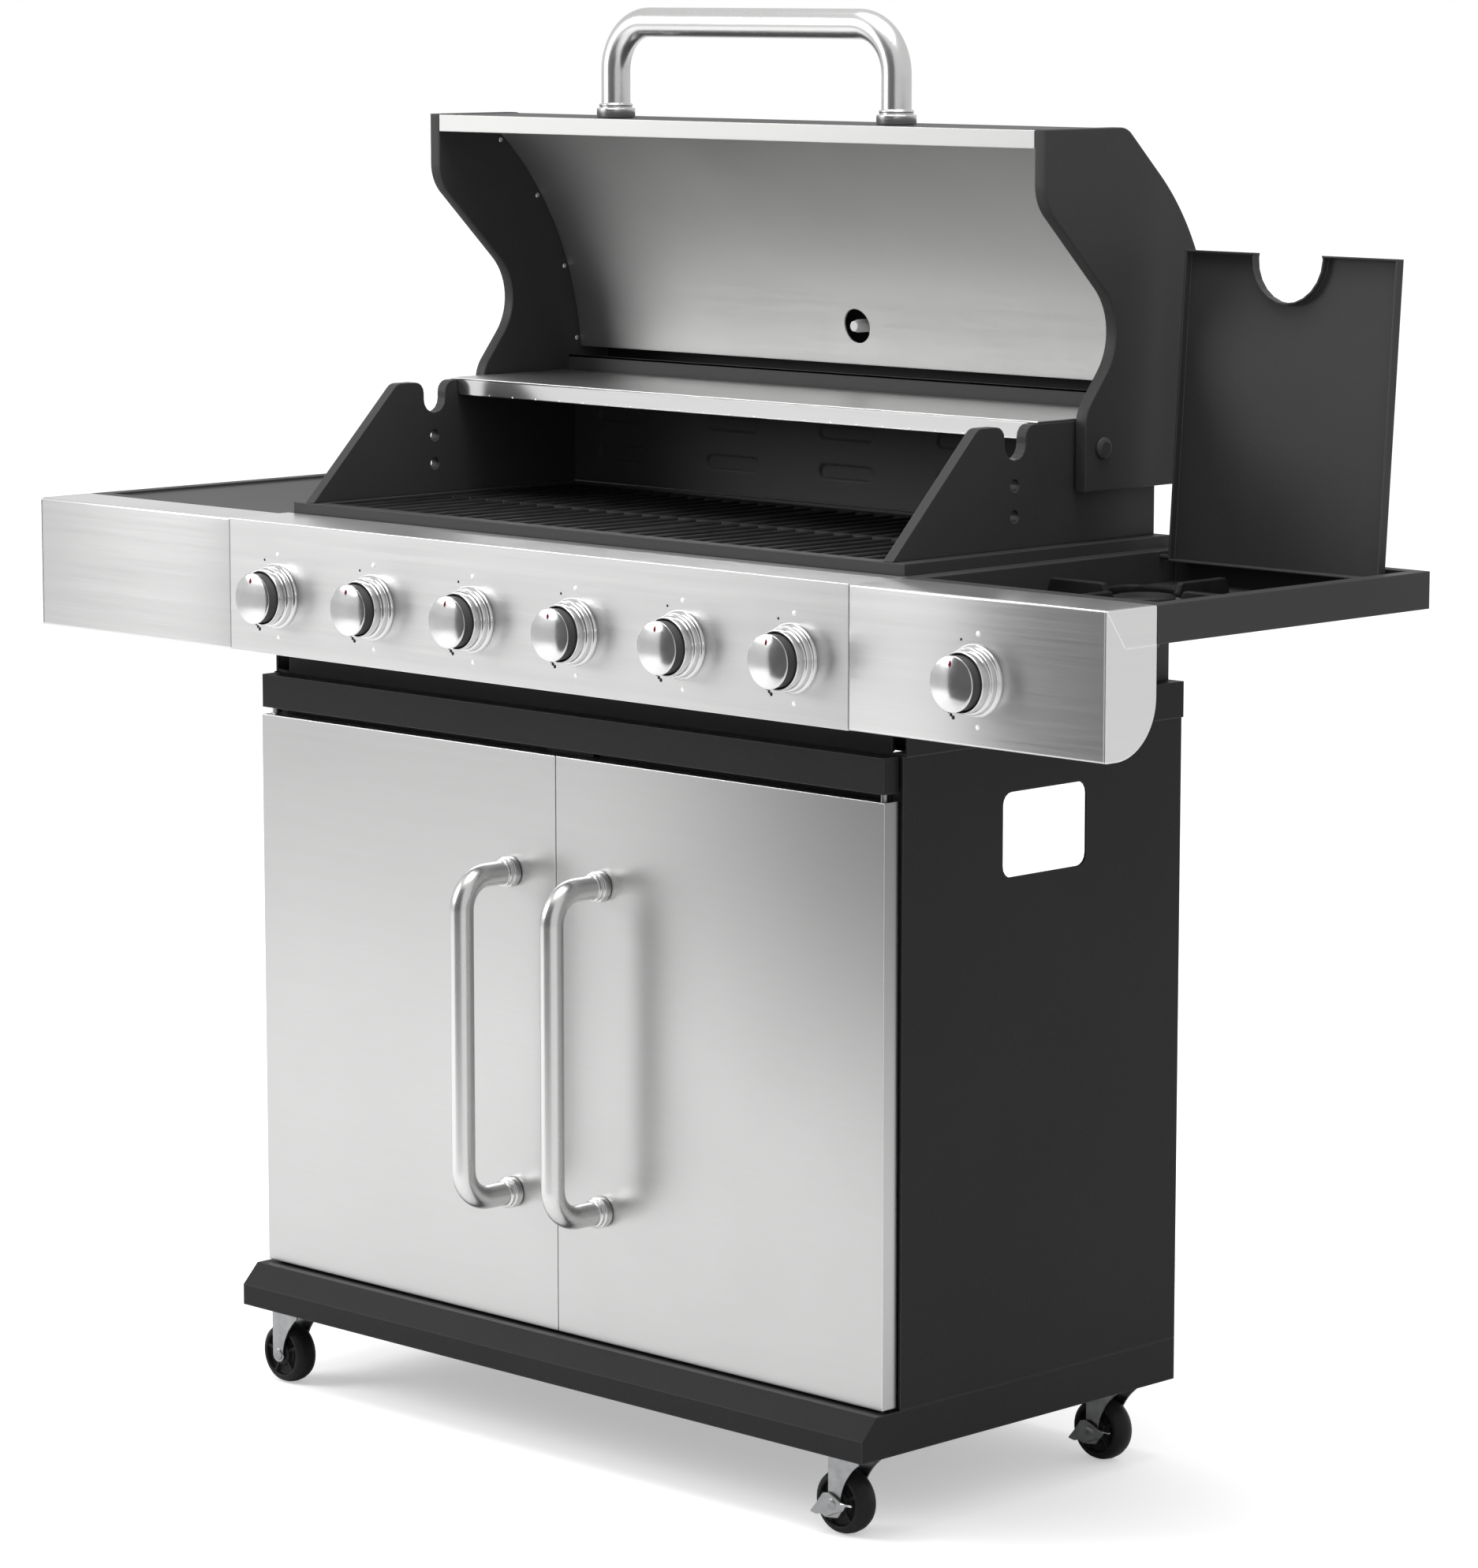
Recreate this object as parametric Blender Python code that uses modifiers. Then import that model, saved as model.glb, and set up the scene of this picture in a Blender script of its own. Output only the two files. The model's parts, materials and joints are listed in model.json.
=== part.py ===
"""Gas barbecue grill: wheeled cart, six-burner firebox, double-skin hood and a side burner.

Metres, +Z up, the front faces -Y. The pieces are laid out from the middle of the cart
(X and Y) and the floor (Z); one empty then carries them all so that the origin is the
middle of the whole grill's footprint.
"""
import math

import bmesh
import bpy
import numpy as np
from mathutils import Matrix, Vector

# ---- driving dimensions ----
GRILL_WIDTH = 1.400
GAP = 0.0003
SHEET = 0.0016

CART_HALF_WIDTH = 0.417
CART_FRONT = -0.1855
CART_BACK = 0.186
BASE_FRONT = -0.2347
BASE_BOTTOM = 0.074
BASE_TOP = 0.113
BASE_FACE_TOP = 0.094
BASE_CHAMFER_BACK = -0.2165

PANEL_TOP = 0.7262
BAND_BOTTOM = 0.6945
BAND_FLANGE = 0.026
WINDOW_WIDTH = 0.112
WINDOW_BOTTOM = 0.572
WINDOW_TOP = 0.6485
WINDOW_RADIUS = 0.011

DOOR_FRONT = -0.2048
DOOR_DEPTH = 0.0184
DOOR_BOTTOM = 0.1155
DOOR_TOP = 0.655
DOOR_OUTER = 0.413
DOOR_PIN_X = 0.404
DOOR_PIN_RADIUS = 0.003
PIN_CLEARANCE = 0.0003
BEAM_BOTTOM = 0.662
BEAM_TOP = 0.694

DOOR_HANDLE_X = 0.060
DOOR_HANDLE_LEGS = (0.2384, 0.5413)
DOOR_HANDLE_REACH = 0.0627
DOOR_HANDLE_RADIUS = 0.0110
DOOR_HANDLE_BEND = 0.030
DOOR_HANDLE_COLLAR = 0.0145

CASTER_CONTACT_X = 0.376
CASTER_TRAIL = 0.018
CASTER_FRONT_Y = -0.2110
CASTER_BACK_Y = 0.134
WHEEL_RADIUS = 0.0295
WHEEL_WIDTH = 0.0235
AXLE_RADIUS = 0.004
FORK_SHEET = 0.002
FORK_HALF_GAP = 0.0133

FASCIA_FRONT = -0.246
FASCIA_BOTTOM = 0.722
SHELF_TOP = 0.8485
FASCIA_SEAM = 0.409
FASCIA_DEPTH = 0.064
FASCIA_CORNER = 0.050
SHELF_BOTTOM = 0.8157
SHELF_BACK = 0.182
SHELF_INNER = 0.4036

KNOB_PITCH = 0.1366
KNOB_Z = 0.7782
SIDE_KNOB_X = 0.5555
KNOB_BACK = -0.2475
KNOB_FACE = -0.2765
KNOB_DOME = 0.0030
KNOB_RADIUS = 0.0240
SHAFT_RADIUS = 0.0035
MANIFOLD_Y = -0.205
MANIFOLD_RADIUS = 0.009

BOX_HALF_WIDTH = 0.403
BOX_FRONT = -0.170
BOX_BACK = 0.1835
BOX_BOTTOM = 0.7265
BOX_TOP = 0.859
BOX_SHEET = 0.002
BOX_MOUTH_HALF_WIDTH = 0.3735
BOX_MOUTH_FRONT = -0.156
BOX_MOUTH_BACK = 0.1700
GRATE_LEDGE = 0.8465
TAMER_LEDGE = 0.806
WALL_INNER = 0.3762
WALL_OUTER = 0.3872
WALL_TOP = 0.9685
SPIT_Y = -0.0105
SPIT_HALF_WIDTH = 0.0140
BACK_WALL_Y = 0.1795
BACK_WALL_TOP = 0.985
BURNER_RADIUS = 0.0125
BURNER_NECK = 0.0075
TRAY_HALF_WIDTH = 0.110
TRAY_BOTTOM = 0.7000

HOOD_PIVOT_Y = 0.090
HOOD_PIVOT_Z = 0.9436
HOOD_PIVOT = (0.0, HOOD_PIVOT_Y, HOOD_PIVOT_Z)
HOOD_PIN_RADIUS = 0.004
HOOD_OUTER = 0.402
HOOD_INNER = 0.3892
HOOD_SHEET_HALF_WIDTH = 0.3888
HOOD_FRONT_Y = 0.010
HOOD_TOP_Z = 1.228
HOOD_TAIL_Z = 0.905
HOOD_LIP = 0.0160

HOOD_HANDLE_X = 0.1835
HOOD_HANDLE_Y = 0.052
HOOD_HANDLE_Z = 1.318
HOOD_HANDLE_RADIUS = 0.0138
HOOD_HANDLE_BEND = 0.046
HOOD_HANDLE_COLLAR = 0.0190

GAUGE_X = 0.0
GAUGE_Z = 1.030

WELL_X = (0.4230, 0.6865)
WELL_Y = (-0.166, 0.168)
WELL_FLOOR = 0.8190
BURNER_X = 0.5555
BURNER_Y = -0.030
LID_X = (0.4330, 0.6720)
LID_LENGTH = 0.276
LID_PIVOT_Y = 0.1475
LID_PIVOT_Z = 0.8435
LID_PIN_RADIUS = 0.0025
LID_OPEN_DEG = 94.0

PIN_Y = DOOR_FRONT + DOOR_DEPTH / 2.0
KNOB_XS = [(i - 2.5) * KNOB_PITCH for i in range(6)] + [SIDE_KNOB_X]

# the grill's footprint, front of the knobs to the back of the thermometer dial
FOOTPRINT_FRONT = KNOB_FACE - KNOB_DOME
FOOTPRINT_BACK = 0.2498
ORIGIN_SHIFT_Y = -(FOOTPRINT_FRONT + FOOTPRINT_BACK) / 2.0

COLOURS = {
    "black_steel": ((0.030, 0.031, 0.033), 0.42, 0.2),
    "stainless": ((0.62, 0.62, 0.61), 0.30, 1.0),
    "satin_tube": ((0.70, 0.70, 0.69), 0.28, 1.0),
    "chrome": ((0.66, 0.66, 0.67), 0.12, 1.0),
    "zinc": ((0.50, 0.51, 0.52), 0.38, 1.0),
    "cast_iron": ((0.035, 0.035, 0.036), 0.55, 0.3),
    "wheel_plastic": ((0.018, 0.018, 0.019), 0.45, 0.0),
}

# ---- scene, collections and the carrying empty ----
for old in list(bpy.data.objects):
    bpy.data.objects.remove(old)
parts = bpy.data.collections.new("gas_barbecue_grill")
cutters = bpy.data.collections.new("cutters")
bpy.context.scene.collection.children.link(parts)
bpy.context.scene.collection.children.link(cutters)
carrier = bpy.data.objects.new("grill_origin", None)
carrier.location = (0.0, ORIGIN_SHIFT_Y, 0.0)
parts.objects.link(carrier)

materials = {}
for slot, (colour, roughness, metallic) in COLOURS.items():
    material = bpy.data.materials.new(slot)
    material.use_nodes = True
    shader = material.node_tree.nodes["Principled BSDF"]
    shader.inputs["Base Color"].default_value = (*colour, 1.0)
    shader.inputs["Roughness"].default_value = roughness
    shader.inputs["Metallic"].default_value = metallic
    materials[slot] = material

# outlines drawn flat in local XY, turned so that the drawing's normal is the named axis
TURN = {
    "X": Matrix(((0, 0, 1, 0), (1, 0, 0, 0), (0, 1, 0, 0), (0, 0, 0, 1))),
    "Y": Matrix(((1, 0, 0, 0), (0, 0, -1, 0), (0, 1, 0, 0), (0, 0, 0, 1))),
    "Z": Matrix.Identity(4),
}


def new_object(name, mesh):
    item = bpy.data.objects.new(name, mesh)
    item.parent = carrier
    parts.objects.link(item)
    return item


def finish(item, slot, pivot=None, smooth_deg=None):
    """Give a piece its own material and, if it moves, its origin on the joint's axis."""
    own = materials[slot].copy()
    own.name = f"{slot}_{item.name}"
    item.data.materials.clear()
    item.data.materials.append(own)
    if pivot is not None:
        item.data.transform(Matrix.Translation(-Vector(pivot)) @ item.matrix_basis)
        item.matrix_basis = Matrix.Translation(Vector(pivot))
    if smooth_deg is not None:
        item.data.shade_smooth()
        item.data.set_sharp_from_angle(angle=math.radians(smooth_deg))
    return item


def box(name, low, high):
    low = Vector(low)
    high = Vector(high)
    mesh = bpy.data.meshes.new(name)
    bm = bmesh.new()
    size = Matrix.Diagonal((*(high - low), 1.0))
    bmesh.ops.create_cube(bm, size=1.0, matrix=Matrix.Translation((low + high) / 2.0) @ size)
    bm.to_mesh(mesh)
    bm.free()
    return new_object(name, mesh)


def rod(name, start, end, radius, sides=16, end_radius=None):
    """A cylinder or cone between two points."""
    start = Vector(start)
    end = Vector(end)
    run = end - start
    mesh = bpy.data.meshes.new(name)
    bm = bmesh.new()
    turn = Vector((0, 0, 1)).rotation_difference(run).to_matrix().to_4x4()
    bmesh.ops.create_cone(bm, cap_ends=True, segments=sides, radius1=radius,
                          radius2=radius if end_radius is None else end_radius,
                          depth=run.length, matrix=Matrix.Translation((start + end) / 2.0) @ turn)
    bm.to_mesh(mesh)
    bm.free()
    return new_object(name, mesh)


def curve_to_mesh(name, curve, matrix):
    """Turn a curve into a welded mesh object and drop the curve."""
    drawn = bpy.data.objects.new(name + "_curve", curve)
    bpy.context.scene.collection.objects.link(drawn)
    drawn.matrix_world = matrix
    bpy.context.view_layer.update()
    evaluated = drawn.evaluated_get(bpy.context.evaluated_depsgraph_get())
    mesh = bpy.data.meshes.new_from_object(evaluated)
    mesh.name = name
    bm = bmesh.new()
    bm.from_mesh(mesh)
    bmesh.ops.remove_doubles(bm, verts=bm.verts, dist=0.00001)
    bmesh.ops.recalc_face_normals(bm, faces=bm.faces)
    bm.to_mesh(mesh)
    bm.free()
    mesh.transform(drawn.matrix_world)
    item = new_object(name, mesh)
    bpy.data.objects.remove(drawn)
    bpy.data.curves.remove(curve)
    return item


def plate(name, outlines, axis, low, high):
    """Flat outlines (the first is the edge, the others are holes) with a thickness along axis."""
    curve = bpy.data.curves.new(name, "CURVE")
    curve.dimensions = "2D"
    curve.fill_mode = "BOTH"
    curve.extrude = (high - low) / 2.0
    for outline in outlines:
        spline = curve.splines.new("POLY")
        spline.points.add(len(outline) - 1)
        for point, (u, v) in zip(spline.points, outline):
            point.co = (u, v, 0.0, 1.0)
        spline.use_cyclic_u = True
    middle = (low + high) / 2.0
    if axis == "Y":
        middle = -middle
    return curve_to_mesh(name, curve, TURN[axis] @ Matrix.Translation((0, 0, middle)))


def tube(name, route, radius, resolution=2):
    """A round tube with flat ends along a list of points."""
    curve = bpy.data.curves.new(name, "CURVE")
    curve.dimensions = "3D"
    curve.bevel_depth = radius
    curve.bevel_resolution = resolution
    curve.use_fill_caps = True
    spline = curve.splines.new("POLY")
    spline.points.add(len(route) - 1)
    for point, place in zip(spline.points, route):
        point.co = (*place, 1.0)
    return curve_to_mesh(name, curve, Matrix.Identity(4))


def turned(name, profile, matrix, steps=20):
    """A profile of (radius, height) points, top to bottom, turned about its local Z."""
    mesh = bpy.data.meshes.new(name)
    mesh.from_pydata([(r, 0.0, h) for r, h in profile],
                     [(i, i + 1) for i in range(len(profile) - 1)], [])
    item = new_object(name, mesh)
    item.matrix_basis = matrix
    screw = item.modifiers.new("turn", "SCREW")
    screw.axis = "Z"
    screw.steps = steps
    screw.render_steps = steps
    screw.use_merge_vertices = True
    screw.merge_threshold = 0.00001
    screw.use_smooth_shade = True
    return item


def boolean(item, tool, operation):
    cutters.objects.link(tool)
    parts.objects.unlink(tool)
    tool.hide_render = True
    tool.display_type = "WIRE"
    tool.name = f"tool_{item.name}_{len(item.modifiers)}"
    modifier = item.modifiers.new(operation.lower(), "BOOLEAN")
    modifier.operation = operation
    modifier.solver = "EXACT"
    modifier.object = tool


def cut(item, *tools):
    for tool in tools:
        boolean(item, tool, "DIFFERENCE")


def join(item, *tools):
    for tool in tools:
        boolean(item, tool, "UNION")


def bake(item):
    """Apply the modifiers, so that the piece can be mirrored, turned or copied."""
    bpy.context.view_layer.update()
    evaluated = item.evaluated_get(bpy.context.evaluated_depsgraph_get())
    mesh = bpy.data.meshes.new_from_object(evaluated)
    item.modifiers.clear()
    item.data = mesh
    return item


def mirrored_copy(item, name):
    """The same piece on the other side of the grill's middle plane."""
    mesh = item.data.copy()
    mesh.transform(Matrix.Diagonal((-1, 1, 1, 1)) @ item.matrix_basis)
    mesh.flip_normals()
    return new_object(name, mesh)


def rounded(corners, radii, steps=6):
    """A closed outline: straight runs between corners, each corner an arc of its radius."""
    points = []
    count = len(corners)
    for i, (corner, radius) in enumerate(zip(corners, radii)):
        here = np.array(corner, float)
        if radius <= 0.0:
            points.append(tuple(here))
            continue
        before = np.array(corners[i - 1], float) - here
        after = np.array(corners[(i + 1) % count], float) - here
        before /= np.linalg.norm(before)
        after /= np.linalg.norm(after)
        half = math.acos(np.clip(before @ after, -1.0, 1.0)) / 2.0
        centre = here + (before + after) / np.linalg.norm(before + after) * radius / math.sin(half)
        start = here + before * radius / math.tan(half) - centre
        end = here + after * radius / math.tan(half) - centre
        sweep = math.pi - 2.0 * half
        for k in range(steps + 1):
            t = k / steps
            mix = (math.sin((1 - t) * sweep) * start + math.sin(t * sweep) * end) / math.sin(sweep)
            points.append(tuple(centre + mix))
    return points


def bent_route(corners, radius, steps=4):
    """An open 3-D route whose inner corners are arcs of one radius."""
    points = [tuple(corners[0])]
    for i in range(1, len(corners) - 1):
        here = np.array(corners[i], float)
        before = np.array(corners[i - 1], float) - here
        after = np.array(corners[i + 1], float) - here
        before /= np.linalg.norm(before)
        after /= np.linalg.norm(after)
        half = math.acos(np.clip(before @ after, -1.0, 1.0)) / 2.0
        centre = here + (before + after) / np.linalg.norm(before + after) * radius / math.sin(half)
        start = here + before * radius / math.tan(half) - centre
        end = here + after * radius / math.tan(half) - centre
        sweep = math.pi - 2.0 * half
        for k in range(steps + 1):
            t = k / steps
            mix = (math.sin((1 - t) * sweep) * start + math.sin(t * sweep) * end) / math.sin(sweep)
            points.append(tuple(centre + mix))
    points.append(tuple(corners[-1]))
    return points


def circle(u, v, radius, sides=12):
    angles = [2.0 * math.pi * k / sides for k in range(sides)]
    return [(u + radius * math.cos(a), v + radius * math.sin(a)) for a in angles]


def arc_through(start, middle, end, count):
    """Points on the circle through three points, from start to end."""
    (ax, ay), (bx, by), (cx, cy) = start, middle, end
    d = 2.0 * (ax * (by - cy) + bx * (cy - ay) + cx * (ay - by))
    ux = ((ax**2 + ay**2) * (by - cy) + (bx**2 + by**2) * (cy - ay) + (cx**2 + cy**2) * (ay - by)) / d
    uy = ((ax**2 + ay**2) * (cx - bx) + (bx**2 + by**2) * (ax - cx) + (cx**2 + cy**2) * (bx - ax)) / d
    radius = math.hypot(ax - ux, ay - uy)
    first = math.atan2(ay - uy, ax - ux)
    last = math.atan2(cy - uy, cx - ux)
    angles = np.linspace(first, last, count)
    return [(ux + radius * math.cos(a), uy + radius * math.sin(a)) for a in angles]


def inset(outline, distance):
    """The outline moved inwards by a distance; the outline runs anticlockwise."""
    points = np.array(outline, float)
    ahead = np.roll(points, -1, axis=0) - points
    ahead /= np.linalg.norm(ahead, axis=1)[:, None]
    normal = np.stack([-ahead[:, 1], ahead[:, 0]], axis=1)
    corner = normal + np.roll(normal, 1, axis=0)
    corner /= (corner * normal).sum(axis=1)[:, None]
    return [tuple(p) for p in points + corner * distance]


def sheet_strip(line, thickness):
    """A closed outline: an open line and the same line offset to its left by a thickness."""
    points = np.array(line, float)
    ahead = np.diff(points, axis=0)
    ahead /= np.linalg.norm(ahead, axis=1)[:, None]
    normal = np.stack([-ahead[:, 1], ahead[:, 0]], axis=1)
    first = np.vstack([normal[:1], normal])
    second = np.vstack([normal, normal[-1:]])
    corner = first + second
    corner /= (corner * second).sum(axis=1)[:, None]
    other = points + corner * thickness
    return [tuple(p) for p in points] + [tuple(p) for p in other[::-1]]


# ---- cart: base, side panels, back, beam ----
def build_base_pan():
    wall = 0.002
    front = [(BASE_FRONT, BASE_BOTTOM), (CART_BACK, BASE_BOTTOM), (CART_BACK, BASE_TOP),
             (BASE_CHAMFER_BACK, BASE_TOP), (BASE_FRONT, BASE_FACE_TOP)]
    pan = plate("base_pan", [front], "X", -CART_HALF_WIDTH, CART_HALF_WIDTH)
    inner = inset(front, wall)
    inner[0] = (inner[0][0], BASE_BOTTOM - wall)
    inner[1] = (inner[1][0], BASE_BOTTOM - wall)
    cut(pan, plate("pan_hollow", [inner], "X", -CART_HALF_WIDTH + wall, CART_HALF_WIDTH - wall))
    for side in (-1, 1):
        cut(pan, rod("pin_hole", (side * DOOR_PIN_X, PIN_Y, BASE_TOP - 0.01),
                     (side * DOOR_PIN_X, PIN_Y, BASE_TOP + 0.01), DOOR_PIN_RADIUS + PIN_CLEARANCE, 12))
    finish(pan, "black_steel")


def build_side_panel(name, side):
    """A pressed side sheet with a window, folds at front and back, and a channel along its top."""
    wall = 0.0025
    flange = 0.016
    bottom = BASE_TOP + GAP
    window_mid = 0.0
    edge = [(CART_FRONT, bottom), (CART_BACK, bottom), (CART_BACK, BAND_BOTTOM), (CART_FRONT, BAND_BOTTOM)]
    half = WINDOW_WIDTH / 2.0
    corners = [(window_mid - half, WINDOW_BOTTOM), (window_mid + half, WINDOW_BOTTOM),
               (window_mid + half, WINDOW_TOP), (window_mid - half, WINDOW_TOP)]
    window = rounded(corners, [WINDOW_RADIUS] * 4, 4)
    outer = CART_HALF_WIDTH
    panel = plate(name, [edge, window], "X", outer - wall, outer)
    overlap = wall / 2.0
    join(panel, box("back_fold", (outer - flange, CART_BACK - wall, bottom),
                    (outer - overlap, CART_BACK, BAND_BOTTOM + overlap)))
    fold_front = CART_FRONT + 0.004
    join(panel, box("front_fold", (outer - flange, fold_front, bottom),
                    (outer - overlap, fold_front + wall, BAND_BOTTOM + overlap)))
    join(panel, box("band_foot", (outer - flange, fold_front, BAND_BOTTOM - overlap),
                    (outer + SHEET, CART_BACK + SHEET / 2.0, BAND_BOTTOM + SHEET)))
    join(panel, box("band_web", (outer + SHEET - wall, fold_front, BAND_BOTTOM),
                    (outer + SHEET, CART_BACK + SHEET / 2.0, PANEL_TOP)))
    join(panel, box("band_top", (outer - BAND_FLANGE, fold_front, PANEL_TOP - wall),
                    (outer + SHEET, CART_BACK + SHEET / 2.0, PANEL_TOP)))
    bake(panel)
    if side < 0:
        other = mirrored_copy(panel, "side_panel_left")
        bpy.data.objects.remove(panel)
        panel = other
    panel.name = name
    finish(panel, "black_steel")


def build_rear_panel():
    """A low back sheet with its top edge folded forwards; the bottle bay is open above it."""
    top = 0.360
    half = CART_HALF_WIDTH - 0.0030
    back = CART_BACK - 0.0025 - GAP
    line = [(back, BASE_TOP + GAP), (back, top), (back - 0.014, top)]
    panel = plate("rear_panel", [sheet_strip(line, SHEET)], "X", -half, half)
    finish(panel, "black_steel")


def build_rear_rail():
    half = CART_HALF_WIDTH - 0.0030
    back = CART_BACK - 0.0025 - GAP
    line = [(back - 0.022, 0.632), (back, 0.632), (back, 0.686), (back - 0.022, 0.686)]
    rail = plate("rear_rail", [sheet_strip(line, SHEET)], "X", -half, half)
    finish(rail, "black_steel")


def build_front_beam():
    wall = 0.0018
    half = DOOR_OUTER - 0.0008
    back = CART_FRONT - GAP
    beam = box("front_beam", (-half, DOOR_FRONT, BEAM_BOTTOM), (half, back, BEAM_TOP))
    cut(beam, box("beam_hollow", (-half + wall, DOOR_FRONT + wall, BEAM_BOTTOM + wall),
                  (half - wall, back + wall, BEAM_TOP - wall)))
    for side in (-1, 1):
        cut(beam, rod("pin_hole", (side * DOOR_PIN_X, PIN_Y, BEAM_BOTTOM - 0.005),
                      (side * DOOR_PIN_X, PIN_Y, BEAM_BOTTOM + 0.005), DOOR_PIN_RADIUS + PIN_CLEARANCE, 12))
    finish(beam, "black_steel")


def build_door_stop():
    """A flat sheet behind the beam and the tops of the doors, with a catch where the doors meet."""
    half = CART_HALF_WIDTH - 0.0025 - 0.0150
    front = CART_FRONT + 0.0043
    back = front + 0.0020
    bottom = BEAM_BOTTOM - 0.018
    stop = box("door_stop", (-half, front, bottom), (half, back, BEAM_TOP + 0.0205))
    catch_half = 0.030
    join(stop, box("catch", (-catch_half, DOOR_FRONT + DOOR_DEPTH + 0.0008, bottom + 0.001),
                   (catch_half, back - 0.001, BEAM_BOTTOM - GAP)))
    bake(stop)
    finish(stop, "black_steel")


# ---- doors ----
def build_door(side):
    name = "door_left" if side < 0 else "door_right"
    wall = 0.0014
    meeting = 0.0006
    low_x, high_x = sorted((side * meeting, side * DOOR_OUTER))
    back = DOOR_FRONT + DOOR_DEPTH
    door = box(name, (low_x, DOOR_FRONT, DOOR_BOTTOM), (high_x, back, DOOR_TOP))
    cut(door, box("door_hollow", (low_x + wall, DOOR_FRONT + wall, DOOR_BOTTOM + wall),
                  (high_x - wall, back + wall, DOOR_TOP - wall)))
    pin_reach = 0.0075
    pin_x = side * DOOR_PIN_X
    join(door, rod("top_pin", (pin_x, PIN_Y, DOOR_TOP - wall / 2.0),
                   (pin_x, PIN_Y, BEAM_BOTTOM + pin_reach - 0.003), DOOR_PIN_RADIUS, 12))
    join(door, rod("foot_pin", (pin_x, PIN_Y, BASE_TOP - pin_reach),
                   (pin_x, PIN_Y, DOOR_BOTTOM + wall / 2.0), DOOR_PIN_RADIUS, 12))
    bake(door)
    finish(door, "stainless", pivot=(pin_x, PIN_Y, 0.0))


def build_door_handle(side):
    name = "door_handle_left" if side < 0 else "door_handle_right"
    x = side * DOOR_HANDLE_X
    foot = DOOR_FRONT - GAP
    reach = DOOR_FRONT - DOOR_HANDLE_REACH
    low, high = DOOR_HANDLE_LEGS
    corners = [(x, foot, low), (x, reach, low), (x, reach, high), (x, foot, high)]
    handle = tube(name, bent_route(corners, DOOR_HANDLE_BEND), DOOR_HANDLE_RADIUS)
    for z in DOOR_HANDLE_LEGS:
        join(handle, rod("collar", (x, foot, z), (x, foot - 0.008, z), DOOR_HANDLE_COLLAR, 14))
    bake(handle)
    finish(handle, "satin_tube", pivot=(side * DOOR_PIN_X, PIN_Y, 0.0), smooth_deg=40)


# ---- casters ----
def build_caster(corner, x, y, braked):
    """A swivel fork with its stem, a wheel on the fork's axle and, on two of them, a brake pedal."""
    stem_x = x + CASTER_TRAIL
    hub_z = WHEEL_RADIUS
    race_low = 0.0665
    bridge_low = 0.0610
    side_top = 0.0645
    legs_reach = FORK_HALF_GAP + FORK_SHEET
    leg = rounded([(x - 0.008, hub_z - 0.008), (x + 0.008, hub_z - 0.008), (stem_x + 0.017, side_top),
                   (stem_x - 0.019, side_top), (x - 0.008, hub_z + 0.010)],
                  [0.007, 0.007, 0.0, 0.0, 0.006], 2)
    fork = box(f"caster_fork_{corner}", (stem_x - 0.019, y - legs_reach, bridge_low),
               (stem_x + 0.017, y + legs_reach, side_top))
    for inner in (-legs_reach, FORK_HALF_GAP):
        join(fork, plate("leg", [leg], "Y", y + inner, y + inner + FORK_SHEET))
    join(fork, rod("race", (stem_x, y, side_top - 0.001), (stem_x, y, BASE_BOTTOM - 0.0012), 0.0165, 12))
    stem_shoulder = BASE_BOTTOM + 0.026
    join(fork, rod("stem", (stem_x, y, race_low), (stem_x, y, stem_shoulder), 0.006, 8))
    join(fork, rod("stem_tip", (stem_x, y, stem_shoulder - 0.002),
                   (stem_x, y, BASE_TOP - 0.0090), 0.0035, 8))
    join(fork, rod("axle", (x, y - legs_reach - 0.0012, hub_z), (x, y + legs_reach + 0.0012, hub_z),
                   AXLE_RADIUS, 10))
    bake(fork)
    finish(fork, "zinc", pivot=(stem_x, y, 0.0), smooth_deg=40)

    half = WHEEL_WIDTH / 2.0
    bore = AXLE_RADIUS + 0.0003
    shoulder = WHEEL_RADIUS - 0.003
    tread_edge = 0.004
    outer = [(0.0, half), (shoulder, half), (WHEEL_RADIUS, half - tread_edge),
             (WHEEL_RADIUS, tread_edge - half), (shoulder, -half), (0.0, -half)]
    turn = Matrix.Translation((x, y, hub_z)) @ Matrix.Rotation(math.radians(90), 4, "X")
    wheel = turned(f"caster_wheel_{corner}", outer, turn, 20)
    cut(wheel, rod("bore", (x, y - half - 0.01, hub_z), (x, y + half + 0.01, hub_z), bore, 10))
    bake(wheel)
    finish(wheel, "wheel_plastic", pivot=(x, y, hub_z), smooth_deg=40)

    if braked:
        face = y - legs_reach - 0.0012 - GAP
        pedal = rounded([(x - 0.026, hub_z - 0.013), (x - 0.006, hub_z - 0.010), (x + 0.012, hub_z - 0.004),
                         (x + 0.024, hub_z - 0.001), (x + 0.022, hub_z + 0.005), (x + 0.006, hub_z + 0.010),
                         (x - 0.010, hub_z + 0.006)], [0.0, 0.004, 0.003, 0.0, 0.0, 0.004, 0.004], 2)
        brake = plate(f"caster_brake_{corner}", [pedal], "Y", face - 0.003, face)
        finish(brake, "zinc", pivot=(x, y, hub_z), smooth_deg=40)


# ---- control panel and fascias ----
def build_control_panel():
    wall = SHEET
    back = BOX_FRONT - 0.0025
    line = [(BOX_FRONT - 0.020, FASCIA_BOTTOM), (FASCIA_FRONT, FASCIA_BOTTOM),
            (FASCIA_FRONT, SHELF_TOP), (back, SHELF_TOP)]
    half = FASCIA_SEAM - 0.0004
    panel = plate("control_panel", [sheet_strip(line, -wall)], "X", -half, half)
    for x in KNOB_XS[:6]:
        cut(panel, rod("shaft_hole", (x, FASCIA_FRONT - 0.01, KNOB_Z),
                       (x, FASCIA_FRONT + 0.01, KNOB_Z), 0.0055, 10))
    bake(panel)
    finish(panel, "stainless")


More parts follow.
